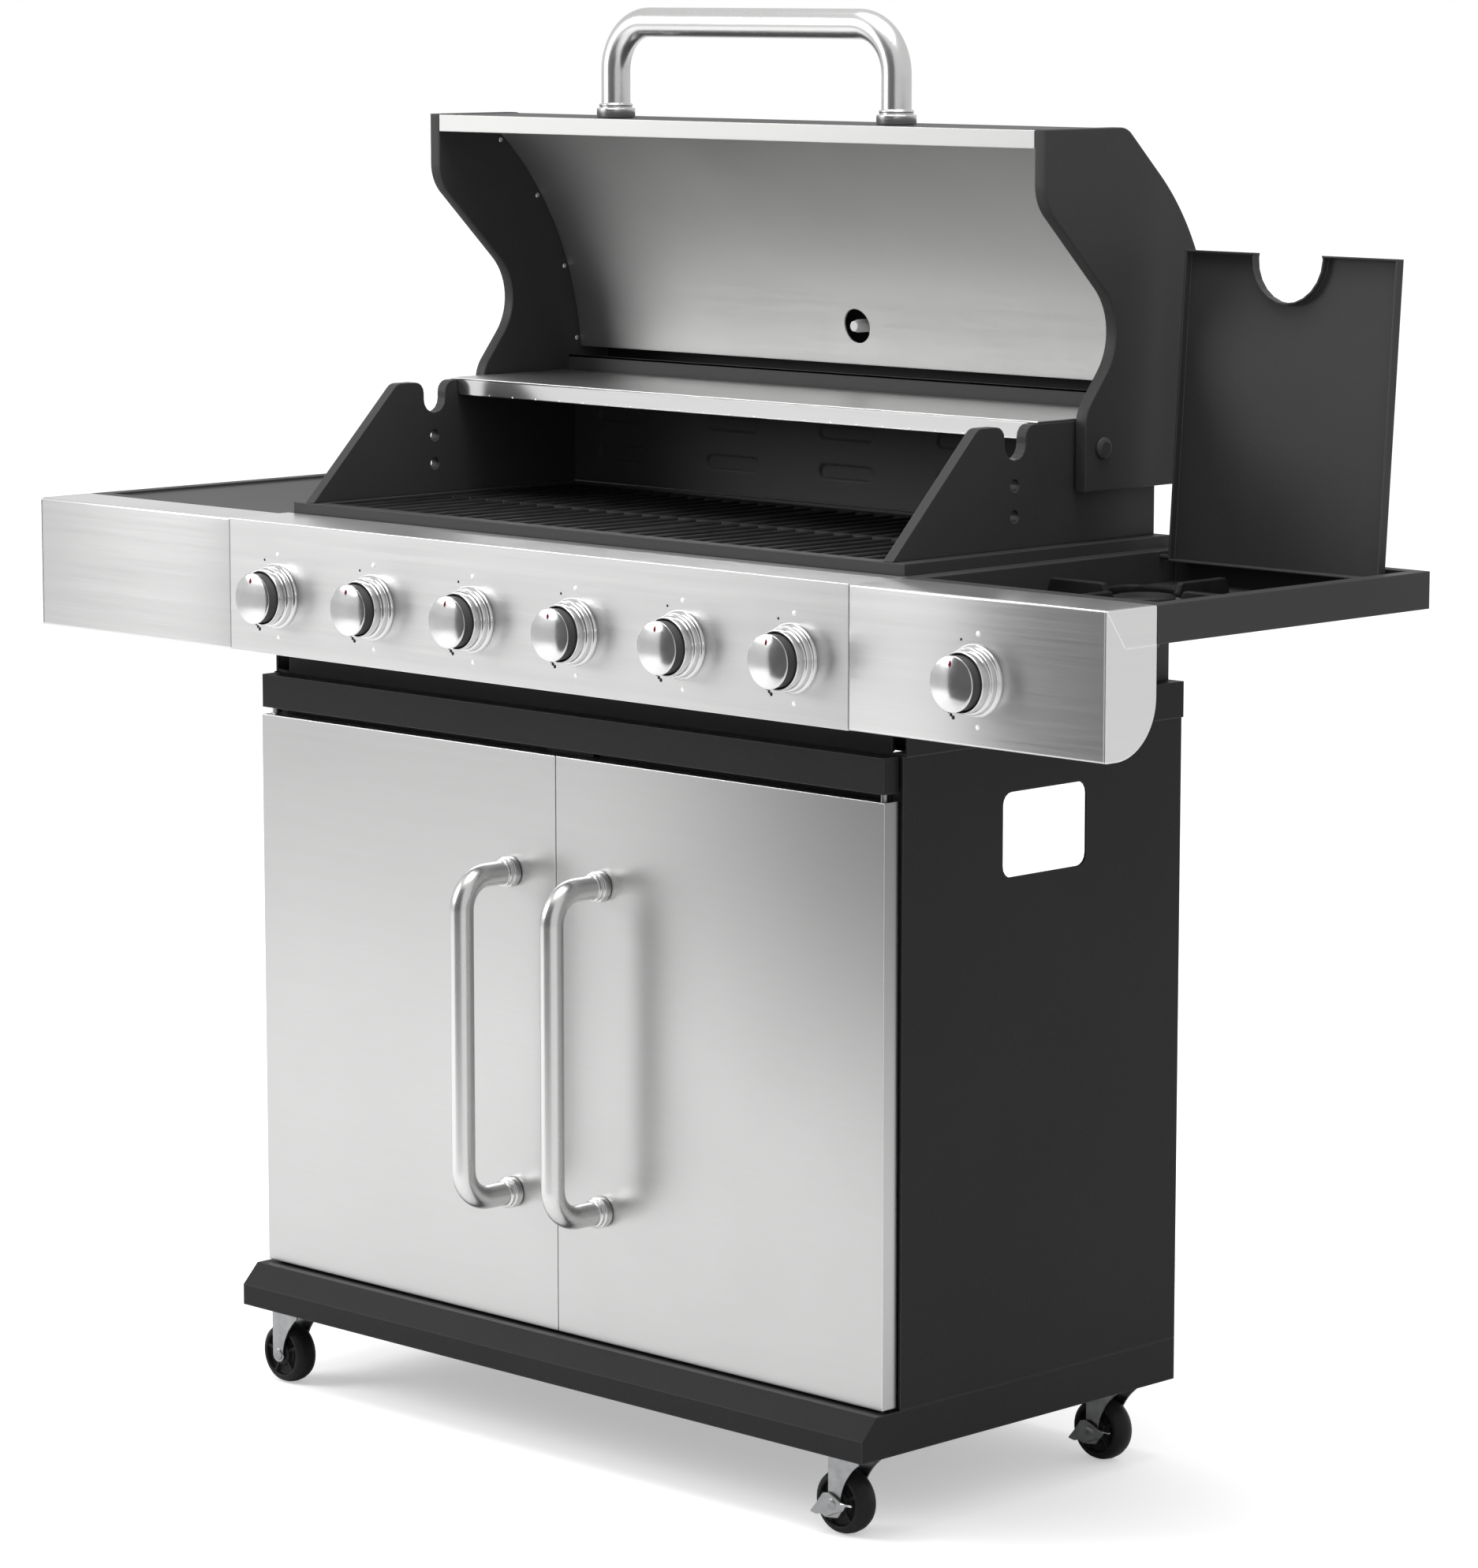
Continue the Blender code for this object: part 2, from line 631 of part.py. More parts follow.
def build_fascia(side):
    """The front of a side shelf: a hollow section with a closed outer end."""
    name = "fascia_left" if side < 0 else "fascia_right"
    wall = SHEET
    back = FASCIA_FRONT + FASCIA_DEPTH
    outline = rounded([(FASCIA_FRONT, FASCIA_BOTTOM), (back, FASCIA_BOTTOM), (back, SHELF_TOP),
                       (FASCIA_FRONT, SHELF_TOP)], [0.0, FASCIA_CORNER, 0.0, 0.0], 8)
    inner_end = FASCIA_SEAM + 0.0004
    outer_end = GRILL_WIDTH / 2.0
    low_x, high_x = sorted((side * inner_end, side * outer_end))
    fascia = plate(name, [outline], "X", low_x, high_x)
    hollow_x = sorted((side * (inner_end - wall), side * (outer_end - wall)))
    cut(fascia, plate("fascia_hollow", [inset(outline, wall)], "X", *hollow_x))
    if side > 0:
        cut(fascia, rod("shaft_hole", (SIDE_KNOB_X, FASCIA_FRONT - 0.01, KNOB_Z),
                        (SIDE_KNOB_X, FASCIA_FRONT + 0.01, KNOB_Z), 0.0055, 10))
    bake(fascia)
    finish(fascia, "stainless", smooth_deg=30)


def build_knob(index, x):
    """A turned knob and its shaft, the dial's face towards the cook."""
    depth = KNOB_BACK - KNOB_FACE
    shaft = KNOB_BACK + 0.026
    profile = [(0.0, depth + KNOB_DOME), (0.012, depth + KNOB_DOME * 0.8), (KNOB_RADIUS - 0.0015, depth),
               (KNOB_RADIUS, depth - 0.003), (KNOB_RADIUS, 0.0), (SHAFT_RADIUS, 0.0),
               (SHAFT_RADIUS, KNOB_BACK - shaft), (0.0, KNOB_BACK - shaft)]
    turn = Matrix.Translation((x, KNOB_BACK, KNOB_Z)) @ Matrix.Rotation(math.radians(90), 4, "X")
    knob = turned(f"knob_{index}", profile, turn, 18)
    bake(knob)
    finish(knob, "chrome", pivot=(x, KNOB_BACK, KNOB_Z), smooth_deg=40)


def build_manifold():
    """The gas pipe behind the panel, with a valve body behind each knob and the hose inlet."""
    left_end = -0.392
    right_end = SIDE_KNOB_X + 0.016
    pipe = rod("gas_manifold", (left_end, MANIFOLD_Y, KNOB_Z),
               (right_end, MANIFOLD_Y, KNOB_Z), MANIFOLD_RADIUS, 10)
    valve_front = KNOB_BACK + 0.026 + GAP
    for x in KNOB_XS:
        join(pipe, rod("valve", (x, valve_front, KNOB_Z), (x, MANIFOLD_Y, KNOB_Z), 0.0105, 8))
    join(pipe, rod("inlet", (left_end + 0.012, MANIFOLD_Y, KNOB_Z),
                   (left_end + 0.012, MANIFOLD_Y, KNOB_Z - 0.034),
                   0.0060, 8))
    bake(pipe)
    finish(pipe, "zinc", smooth_deg=40)


# ---- side shelves and side burner ----
def panel_corner(inner_x, front):
    """The corner of a shelf that makes room for the end of the control panel's top."""
    reach = math.copysign(FASCIA_SEAM + GAP, inner_x)
    beyond = math.copysign(SHELF_INNER - 0.002, inner_x)
    low_x, high_x = sorted((reach, beyond))
    return box("panel_corner", (low_x, front - 0.002, SHELF_BOTTOM - 0.002),
               (high_x, BOX_FRONT - 0.0022, SHELF_TOP + 0.002))


def build_shelf_left():
    """A pressed shelf, open below, with a slightly sunk worktop."""
    wall = SHEET
    low_x, high_x = -GRILL_WIDTH / 2.0, -SHELF_INNER
    front = FASCIA_FRONT + FASCIA_DEPTH + GAP
    rim = 0.014
    shelf = box("side_shelf_left", (low_x, front, SHELF_BOTTOM), (high_x, SHELF_BACK, SHELF_TOP))
    cut(shelf, box("sunk_top", (low_x + rim, front + rim, SHELF_TOP - 0.003),
                   (high_x - rim, SHELF_BACK - rim, SHELF_TOP + wall)))
    cut(shelf, box("underside", (low_x + wall, front + wall, SHELF_BOTTOM - wall),
                   (high_x - wall, SHELF_BACK - wall, SHELF_TOP - 0.003 - wall)))
    cut(shelf, panel_corner(high_x, front))
    bake(shelf)
    finish(shelf, "black_steel")


def build_shelf_right():
    """The burner shelf: a skirt, a rim and a well with the burner's hole in its floor."""
    wall = SHEET
    low_x, high_x = SHELF_INNER, GRILL_WIDTH / 2.0
    front = FASCIA_FRONT + FASCIA_DEPTH + GAP
    floor_low = WELL_FLOOR - wall
    shelf = box("side_shelf_right", (low_x, front, SHELF_BOTTOM), (high_x, SHELF_BACK, SHELF_TOP))
    cut(shelf, box("underside", (low_x + wall, front + wall, SHELF_BOTTOM - wall),
                   (high_x - wall, SHELF_BACK - wall, SHELF_TOP - wall)))
    join(shelf, box("well_tub", (WELL_X[0] - wall, WELL_Y[0] - wall, floor_low),
                    (WELL_X[1] + wall, WELL_Y[1] + wall, SHELF_TOP - wall / 2.0)))
    cut(shelf, box("well", (WELL_X[0], WELL_Y[0], WELL_FLOOR), (WELL_X[1], WELL_Y[1], SHELF_TOP + wall)))
    cut(shelf, rod("burner_hole", (BURNER_X, BURNER_Y, floor_low - wall),
                   (BURNER_X, BURNER_Y, WELL_FLOOR + wall),
                   0.0240, 16))
    cut(shelf, panel_corner(low_x, front))
    for edge in WELL_X:
        cut(shelf, rod("lid_pin_hole", (edge - 3 * wall, LID_PIVOT_Y, LID_PIVOT_Z),
                       (edge + 3 * wall, LID_PIVOT_Y, LID_PIVOT_Z), LID_PIN_RADIUS + PIN_CLEARANCE, 12))
    bake(shelf)
    finish(shelf, "black_steel")


def build_side_burner():
    """A turned burner: mixing cup below the well, drip collar, head and cap."""
    top = 0.8340
    floor = WELL_FLOOR + GAP
    profile = [(0.0, top), (0.022, top), (0.027, top - 0.002), (0.027, top - 0.004), (0.034, top - 0.0045),
               (0.034, floor + 0.003), (0.038, floor + 0.002), (0.038, floor), (0.0235, floor),
               (0.0235, 0.8060), (0.012, 0.7880), (0.0, 0.7880)]
    burner = turned("side_burner", profile, Matrix.Translation((BURNER_X, BURNER_Y, 0.0)), 16)
    bake(burner)
    finish(burner, "cast_iron", smooth_deg=40)


def build_pan_support():
    """A square frame on the well's floor with four raised fingers pointing at the burner."""
    half = 0.112
    bar = 0.007
    low, high, top = WELL_FLOOR + GAP, WELL_FLOOR + 0.0073, 0.8405
    foot = rounded([(BURNER_X - half, BURNER_Y - half), (BURNER_X + half, BURNER_Y - half),
                    (BURNER_X + half, BURNER_Y + half), (BURNER_X - half, BURNER_Y + half)], [0.018] * 4, 3)
    support = plate("pan_support", [foot, inset(foot, bar)], "Z", low, high)
    for along_x in (True, False):
        for side in (-1, 1):
            near, far = sorted((side * 0.042, side * (half - 0.0005)))
            if along_x:
                join(support, box("finger", (BURNER_X + near, BURNER_Y - bar / 2.0, low + 0.002),
                                  (BURNER_X + far, BURNER_Y + bar / 2.0, top)))
            else:
                join(support, box("finger", (BURNER_X - bar / 2.0, BURNER_Y + near, low + 0.002),
                                  (BURNER_X + bar / 2.0, BURNER_Y + far, top)))
    bake(support)
    finish(support, "cast_iron")


def build_side_burner_lid():
    """A shallow tray with a half-round finger notch, drawn shut and then stood up on its pins."""
    wall = 0.0016
    rim = 0.0090
    under = SHELF_TOP + GAP
    over = under + wall
    low = over - rim
    back = LID_PIVOT_Y + 0.0035
    front = LID_PIVOT_Y - LID_LENGTH
    low_x, high_x = LID_X
    notch_x, notch_y, notch_radius = 0.5500, front + 0.004, 0.0390
    lid = box("side_burner_lid", (low_x, front, low), (high_x, back, over))
    cut(lid, box("lid_hollow", (low_x + wall, front + wall, low - wall),
                 (high_x - wall, back - wall, under)))
    join(lid, rod("notch_wall", (notch_x, notch_y, low + wall / 2.0), (notch_x, notch_y, over - wall / 2.0),
                  notch_radius + wall, 24))
    cut(lid, rod("notch", (notch_x, notch_y, low - rim), (notch_x, notch_y, over + rim), notch_radius, 24))
    cut(lid, box("notch_mouth", (notch_x - 2 * notch_radius, front - notch_radius * 2, low - rim),
                 (notch_x + 2 * notch_radius, front, over + rim)))
    left_ear = (low_x + wall / 2.0, WELL_X[0] - 0.0010)
    right_ear = (high_x - wall / 2.0, WELL_X[1] + 0.0010)
    for edge, well_edge in (left_ear, right_ear):
        join(lid, rod("pin", (edge, LID_PIVOT_Y, LID_PIVOT_Z), (well_edge, LID_PIVOT_Y, LID_PIVOT_Z),
                      LID_PIN_RADIUS, 12))
    bake(lid)
    pivot = Vector((0.0, LID_PIVOT_Y, LID_PIVOT_Z))
    opened = Matrix.Rotation(math.radians(-LID_OPEN_DEG), 4, "X")
    lid.data.transform(Matrix.Translation(pivot) @ opened @ Matrix.Translation(-pivot))
    finish(lid, "black_steel", pivot=pivot)


# ---- firebox and what it holds ----
def build_firebox():
    """The tub: a rim, ledges for grates and flame tamers, burner holes, a grease slot and hangers."""
    wall = BOX_SHEET
    half = BOX_HALF_WIDTH
    rim_under = BOX_TOP - 0.003
    tub = box("firebox", (-half, BOX_FRONT, BOX_BOTTOM), (half, BOX_BACK, BOX_TOP))
    cut(tub, box("cavity", (-half + wall, BOX_FRONT + wall, BOX_BOTTOM + wall),
                 (half - wall, BOX_BACK - wall, rim_under)))
    cut(tub, box("mouth", (-BOX_MOUTH_HALF_WIDTH, BOX_MOUTH_FRONT, rim_under - wall),
                 (BOX_MOUTH_HALF_WIDTH, BOX_MOUTH_BACK, BOX_TOP + wall)))
    cut(tub, box("grease_slot", (-0.060, -0.050, BOX_BOTTOM - wall), (0.060, 0.060, BOX_BOTTOM + 2 * wall)))
    for level in (GRATE_LEDGE, TAMER_LEDGE):
        join(tub, box("front_ledge", (-half + wall / 2.0, BOX_FRONT + wall / 2.0, level - wall),
                      (half - wall / 2.0, BOX_MOUTH_FRONT + 0.010, level)))
        join(tub, box("back_ledge", (-half + wall / 2.0, BOX_MOUTH_BACK - 0.010, level - wall),
                      (half - wall / 2.0, BOX_BACK - wall / 2.0, level)))
    apron = CART_HALF_WIDTH - BAND_FLANGE - GAP
    join(tub, box("apron", (-apron, BOX_FRONT, BEAM_TOP + 2 * GAP),
                  (apron, BOX_FRONT + wall, BOX_BOTTOM + wall / 2.0)))
    for side in (-1, 1):
        web = sorted((side * (TRAY_HALF_WIDTH + 0.0025), side * (TRAY_HALF_WIDTH + 0.0045)))
        lip = sorted((side * (TRAY_HALF_WIDTH - 0.0100), side * (TRAY_HALF_WIDTH + 0.0045)))
        join(tub, box("hanger_web", (web[0], BOX_FRONT + 0.004, TRAY_BOTTOM - GAP - wall),
                      (web[1], BOX_BACK - 0.004, BOX_BOTTOM + wall / 2.0)))
        join(tub, box("hanger_lip", (lip[0], BOX_FRONT + 0.004, TRAY_BOTTOM - GAP - wall),
                      (lip[1], BOX_BACK - 0.004, TRAY_BOTTOM - GAP)))
    for x in KNOB_XS[:6]:
        cut(tub, rod("burner_hole", (x, BOX_FRONT - 0.01, KNOB_Z), (x, BOX_FRONT + 0.01, KNOB_Z),
                     BURNER_NECK + 0.001, 10))
    bake(tub)
    finish(tub, "black_steel")


def build_firebox_wall(side):
    """A cast side wall with a sloping front, the spit's notch and holes, and the hood's pivot stud."""
    name = "firebox_wall_left" if side < 0 else "firebox_wall_right"
    foot = BOX_TOP + GAP
    notch = SPIT_HALF_WIDTH
    notch_low = 0.9380
    back = BACK_WALL_Y - GAP
    corners = [(-0.1685, foot), (back, foot), (back, WALL_TOP), (SPIT_Y + notch, WALL_TOP),
               (SPIT_Y + notch, notch_low), (SPIT_Y - notch, notch_low), (SPIT_Y - notch, WALL_TOP),
               (-0.0590, WALL_TOP)]
    radii = [0.0, 0.0, 0.004, 0.011, 0.0135, 0.0135, 0.011, 0.012]
    holes = [circle(SPIT_Y, z, 0.0058, 10) for z in (0.8880, 0.9155)]
    wall = plate(name, [rounded(corners, radii, 4)] + holes, "X", WALL_INNER, WALL_OUTER)
    stud_end = HOOD_OUTER + 0.0006
    join(wall, rod("stud", (WALL_OUTER - 0.004, HOOD_PIVOT_Y, HOOD_PIVOT_Z),
                   (stud_end, HOOD_PIVOT_Y, HOOD_PIVOT_Z),
                   HOOD_PIN_RADIUS, 12))
    join(wall, rod("stud_head", (stud_end - 0.0002, HOOD_PIVOT_Y, HOOD_PIVOT_Z),
                   (stud_end + 0.0040, HOOD_PIVOT_Y, HOOD_PIVOT_Z), 0.0095, 12, end_radius=0.0065))
    bake(wall)
    if side < 0:
        other = mirrored_copy(wall, name)
        bpy.data.objects.remove(wall)
        wall = other
        wall.name = name
    finish(wall, "black_steel", smooth_deg=30)


def build_firebox_back():
    """The upright back sheet, its top edge folded backwards."""
    half = WALL_INNER + 0.0090
    foot = BOX_TOP + GAP
    line = [(BACK_WALL_Y, foot), (BACK_WALL_Y, BACK_WALL_TOP), (BACK_WALL_Y + 0.007, BACK_WALL_TOP)]
    back = plate("firebox_back", [sheet_strip(line, -SHEET)], "X", -half, half)
    finish(back, "black_steel")


def build_burner(index, x):
    """A tube burner: a neck from the valve through the tub's front, a flare and the tube."""
    front = MANIFOLD_Y + MANIFOLD_RADIUS + 0.002
    flare = BOX_FRONT + 0.012
    back = BOX_BACK - BOX_SHEET - GAP
    length = back - front
    profile = [(0.0, length), (BURNER_RADIUS - 0.002, length), (BURNER_RADIUS, length - 0.003),
               (BURNER_RADIUS, flare - front + 0.014), (BURNER_NECK, flare - front),
               (BURNER_NECK, 0.0), (0.0, 0.0)]
    turn = Matrix.Translation((x, front, KNOB_Z)) @ Matrix.Rotation(math.radians(-90), 4, "X")
    burner = turned(f"burner_{index}", profile, turn, 12)
    bake(burner)
    finish(burner, "stainless", smooth_deg=50)


def build_flame_tamer(index, x):
    """A sheet folded into two roofs, one over each of a pair of burners."""
    eave = TAMER_LEDGE + GAP
    ridge = eave + 0.024
    valley = eave + 0.004
    half = KNOB_PITCH - 0.0110
    crest = KNOB_PITCH / 2.0
    line = [(x - half, eave), (x - crest, ridge), (x, valley), (x + crest, ridge), (x + half, eave)]
    tamer = plate(f"flame_tamer_{index}", [sheet_strip(line, SHEET)], "Y",
                  BOX_FRONT + 0.0035, BOX_BACK - 0.0035)
    finish(tamer, "stainless")


def build_cooking_grate(name, low_x, high_x):
    """A cast grate: bars running front to back, one cross bar and a border."""
    front, back = BOX_MOUTH_FRONT + 0.0015, BOX_MOUTH_BACK - 0.0015
    low = GRATE_LEDGE + GAP
    bars = 15
    border = 0.011
    slot = 0.0140
    middle = (front + back) / 2.0
    pitch = (high_x - low_x - 2 * border - slot) / (bars - 1)
    outlines = [[(low_x, front), (high_x, front), (high_x, back), (low_x, back)]]
    for i in range(bars):
        x = low_x + border + i * pitch
        for y0, y1 in ((front + border, middle - border / 2.0), (middle + border / 2.0, back - border)):
            outlines.append([(x, y0), (x + slot, y0), (x + slot, y1), (x, y1)])
    grate = plate(name, outlines, "Z", low, low + 0.0095)
    finish(grate, "cast_iron")


def build_warming_rack():
    """A flat rack on top of the side walls, with a deep lip along its front."""
    low = WALL_TOP + GAP
    sheet = 0.0016
    front, back = 0.0200, BACK_WALL_Y - 0.004
    half = WALL_OUTER - 0.0008
    lip_half = WALL_INNER - 0.0006
    rack = box("warming_rack", (-half, front, low), (half, back, low + sheet))
    lip = rounded([(-lip_half, low - 0.0150), (lip_half, low - 0.0150), (lip_half, low + sheet / 2.0),
                   (-lip_half, low + sheet / 2.0)], [0.006, 0.006, 0.0, 0.0], 3)
    join(rack, plate("lip", [lip], "Y", front, front + sheet))
    bake(rack)
    finish(rack, "stainless")


def build_grease_tray():
    wall = 0.0012
    front, back = BOX_FRONT + 0.010, BOX_BACK + 0.010
    top = BOX_BOTTOM - 0.0030
    tray = box("grease_tray", (-TRAY_HALF_WIDTH, front, TRAY_BOTTOM), (TRAY_HALF_WIDTH, back, top))
    cut(tray, box("tray_hollow", (-TRAY_HALF_WIDTH + wall, front + wall, TRAY_BOTTOM + wall),
                  (TRAY_HALF_WIDTH - wall, back - wall, top + wall)))
    bake(tray)
    finish(tray, "stainless", pivot=(0.0, back, TRAY_BOTTOM))


# ---- hood ----
def hood_back_line(steps):
    """The hood's outer profile from the top's front edge, over the back, down to the tail."""
    crown = rounded([(HOOD_FRONT_Y, HOOD_TOP_Z), (0.1200, HOOD_TOP_Z), (0.1640, 1.1870)],
                    [0.0, 0.022, 0.0], 3)[1:-1]
    sweep = arc_through((0.1640, 1.1870), (0.2150, 1.1200), (0.2395, 1.0000), steps)
    return crown + sweep + [(0.2400, HOOD_TAIL_Z)]


def build_hood_side(side):
    """A hollow pressed end cap: the arched front, the crown and the rounded back."""
    name = "hood_side_left" if side < 0 else "hood_side_right"
    front = rounded([(HOOD_FRONT_Y, HOOD_TOP_Z), (HOOD_FRONT_Y, 1.1626), (0.1265, 1.0505), (0.0672, 0.9762),
                     (0.0672, HOOD_TAIL_Z)], [0.0, 0.040, 0.0547, 0.034, 0.0], 6)
    back = hood_back_line(9)[::-1]
    outline = front + back
    wall = 0.0018
    cap = plate(name, [outline], "X", HOOD_INNER, HOOD_OUTER)
    hollow = inset(outline, wall)
    tail = len(front) - 1
    hollow[tail] = (hollow[tail][0], HOOD_TAIL_Z - wall)
    hollow[tail + 1] = (hollow[tail + 1][0], HOOD_TAIL_Z - wall)
    cut(cap, plate("cap_hollow", [hollow], "X", HOOD_INNER + wall, HOOD_OUTER - wall))
    join(cap, rod("pivot_boss", (HOOD_INNER + wall / 2.0, HOOD_PIVOT_Y, HOOD_PIVOT_Z),
                  (HOOD_OUTER - wall / 2.0, HOOD_PIVOT_Y, HOOD_PIVOT_Z), HOOD_PIN_RADIUS + 0.004, 12))
    cut(cap, rod("pivot_hole", (HOOD_INNER - wall, HOOD_PIVOT_Y, HOOD_PIVOT_Z),
                 (HOOD_OUTER + wall, HOOD_PIVOT_Y, HOOD_PIVOT_Z), HOOD_PIN_RADIUS + PIN_CLEARANCE, 12))
    bake(cap)
    if side < 0:
        other = mirrored_copy(cap, name)
        bpy.data.objects.remove(cap)
        cap = other
        cap.name = name
    finish(cap, "black_steel", pivot=HOOD_PIVOT, smooth_deg=30)


def build_hood_skin():
    """The outer sheet, from a folded edge behind the lip, over the crown and down the back."""
    proud = 0.0008
    line = np.array(hood_back_line(9), float)
    line[:, 0] -= proud * np.linspace(0.0, 1.0, len(line))
    line[:, 1] -= proud * np.linspace(1.0, 0.0, len(line))
    lip_back = HOOD_FRONT_Y + 2 * SHEET + 2 * GAP
    top = HOOD_TOP_Z - proud
    strip = [(lip_back, top - 0.006), (lip_back, top)] + [tuple(p) for p in line]
    skin = plate("hood_skin", [sheet_strip(strip, -SHEET)], "X",
                 -HOOD_SHEET_HALF_WIDTH, HOOD_SHEET_HALF_WIDTH)
    cut(skin, rod("gauge_hole", (GAUGE_X, 0.200, GAUGE_Z), (GAUGE_X, 0.260, GAUGE_Z), 0.0065, 16))
    bake(skin)
    finish(skin, "black_steel", pivot=HOOD_PIVOT, smooth_deg=30)


def build_hood_liner():
    """The stainless inner sheet: the front lip, a web behind it, and the curved reflector."""
    lip_top = HOOD_TOP_Z - 0.0008
    lip_low = lip_top - HOOD_LIP
    reflector = arc_through((0.0930, 1.2080), (0.1680, 1.1120), (0.2010, 0.9930), 14)
    line = [(HOOD_FRONT_Y + SHEET, lip_top), (HOOD_FRONT_Y + SHEET, lip_low + SHEET),
            (0.0870, lip_low + SHEET)] + reflector
    liner = plate("hood_liner", [sheet_strip(line, -SHEET)], "X",
                  -HOOD_SHEET_HALF_WIDTH, HOOD_SHEET_HALF_WIDTH)
    cut(liner, rod("gauge_window", (GAUGE_X, 0.170, GAUGE_Z), (GAUGE_X, 0.215, GAUGE_Z), 0.0165, 20))
    bake(liner)
    finish(liner, "stainless", pivot=HOOD_PIVOT, smooth_deg=30)


def build_hood_handle():
    foot = HOOD_TOP_Z - 0.0008 + GAP
    x, y = HOOD_HANDLE_X, HOOD_HANDLE_Y
    corners = [(-x, y, foot), (-x, y, HOOD_HANDLE_Z), (x, y, HOOD_HANDLE_Z), (x, y, foot)]
    handle = tube("hood_handle", bent_route(corners, HOOD_HANDLE_BEND), HOOD_HANDLE_RADIUS)
    for side in (-1, 1):
        join(handle, rod("collar", (side * x, y, foot),
                         (side * x, y, foot + 0.007), HOOD_HANDLE_COLLAR, 14))
    bake(handle)
    finish(handle, "satin_tube", pivot=HOOD_PIVOT, smooth_deg=40)


def build_hood_thermometer():
    """A dial on the outer skin, its stem reaching through the liner's window."""
    skin_y = 0.2395
    stem_front = 0.1900
    face = FOOTPRINT_BACK - stem_front
    seat = skin_y - stem_front + GAP
    profile = [(0.0, face), (0.0255, face), (0.0285, face - 0.0025), (0.0285, seat), (0.0058, seat),
               (0.0058, 0.004), (0.0045, 0.0), (0.0, 0.0)]
    turn = Matrix.Translation((GAUGE_X, stem_front, GAUGE_Z)) @ Matrix.Rotation(math.radians(-90), 4, "X")
    gauge = turned("hood_thermometer", profile, turn, 20)
    bake(gauge)
    finish(gauge, "chrome", pivot=HOOD_PIVOT, smooth_deg=40)


# ---- build ----
build_base_pan()
for panel_side, panel_name in ((-1, "side_panel_left"), (1, "side_panel_right")):
    build_side_panel(panel_name, panel_side)
build_rear_panel()
build_rear_rail()
build_front_beam()
build_door_stop()
for half_side in (-1, 1):
    build_door(half_side)
    build_door_handle(half_side)
for corner_name, contact_x, contact_y, has_brake in (
        ("front_left", -CASTER_CONTACT_X, CASTER_FRONT_Y, False),
        ("front_right", CASTER_CONTACT_X, CASTER_FRONT_Y, True),
        ("back_left", -CASTER_CONTACT_X, CASTER_BACK_Y, False),
        ("back_right", CASTER_CONTACT_X, CASTER_BACK_Y, True)):
    build_caster(corner_name, contact_x, contact_y, has_brake)
build_control_panel()
for half_side in (-1, 1):
    build_fascia(half_side)
for knob_index, knob_x in enumerate(KNOB_XS, start=1):
    build_knob(knob_index, knob_x)
build_manifold()
build_shelf_left()
build_shelf_right()
build_side_burner()
build_pan_support()
build_side_burner_lid()
build_firebox()
for half_side in (-1, 1):
    build_firebox_wall(half_side)
build_firebox_back()
for burner_index, burner_x in enumerate(KNOB_XS[:6], start=1):
    build_burner(burner_index, burner_x)
for tamer_index in range(3):
    build_flame_tamer(tamer_index + 1, (tamer_index - 1) * 2 * KNOB_PITCH)
build_cooking_grate("cooking_grate_left", -BOX_MOUTH_HALF_WIDTH + 0.0015, -0.0010)
build_cooking_grate("cooking_grate_right", 0.0010, BOX_MOUTH_HALF_WIDTH - 0.0015)
build_warming_rack()
build_grease_tray()
for half_side in (-1, 1):
    build_hood_side(half_side)
build_hood_skin()
build_hood_liner()
build_hood_handle()
build_hood_thermometer()
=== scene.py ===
import json
import math

import bmesh
import bpy
import numpy as np
from mathutils import Matrix, Vector


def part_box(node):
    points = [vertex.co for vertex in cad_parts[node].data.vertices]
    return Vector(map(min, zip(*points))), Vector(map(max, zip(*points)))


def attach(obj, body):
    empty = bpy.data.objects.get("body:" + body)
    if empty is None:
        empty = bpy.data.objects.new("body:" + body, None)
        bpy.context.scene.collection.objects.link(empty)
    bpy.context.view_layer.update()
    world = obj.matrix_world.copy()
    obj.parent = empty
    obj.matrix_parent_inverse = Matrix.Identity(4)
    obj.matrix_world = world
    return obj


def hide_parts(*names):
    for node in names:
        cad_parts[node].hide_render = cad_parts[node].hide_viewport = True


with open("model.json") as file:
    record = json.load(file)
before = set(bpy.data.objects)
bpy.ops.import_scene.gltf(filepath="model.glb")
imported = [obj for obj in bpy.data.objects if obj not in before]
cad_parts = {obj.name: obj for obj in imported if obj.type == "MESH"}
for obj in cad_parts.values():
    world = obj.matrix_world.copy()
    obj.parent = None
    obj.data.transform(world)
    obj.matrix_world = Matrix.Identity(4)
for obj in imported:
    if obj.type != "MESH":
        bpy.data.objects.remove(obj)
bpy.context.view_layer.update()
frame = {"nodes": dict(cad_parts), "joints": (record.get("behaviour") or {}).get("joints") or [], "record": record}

# Gas barbecue grill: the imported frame, dressed with finishes and finer pieces.
# Metres, +Z up, the front faces -Y.

print("frame loaded:", len(frame["nodes"]), "CAD nodes")


# small helpers for node trees

def addNode(tree, kind, **settings):
    made = tree.nodes.new(kind)
    for key, value in settings.items():
        setattr(made, key, value)
    return made


def setInputs(node, **values):
    for key, value in values.items():
        node.inputs[key.replace("_", " ")].default_value = value
    return node


def mathNode(tree, operation, first, second=None, clamp=False):
    made = addNode(tree, "ShaderNodeMath", operation=operation, use_clamp=clamp)
    for slotIndex, value in enumerate((first, second)):
        if value is None:
            continue
        if isinstance(value, (int, float)):
            made.inputs[slotIndex].default_value = value
        else:
            tree.links.new(value, made.inputs[slotIndex])
    return made.outputs[0]


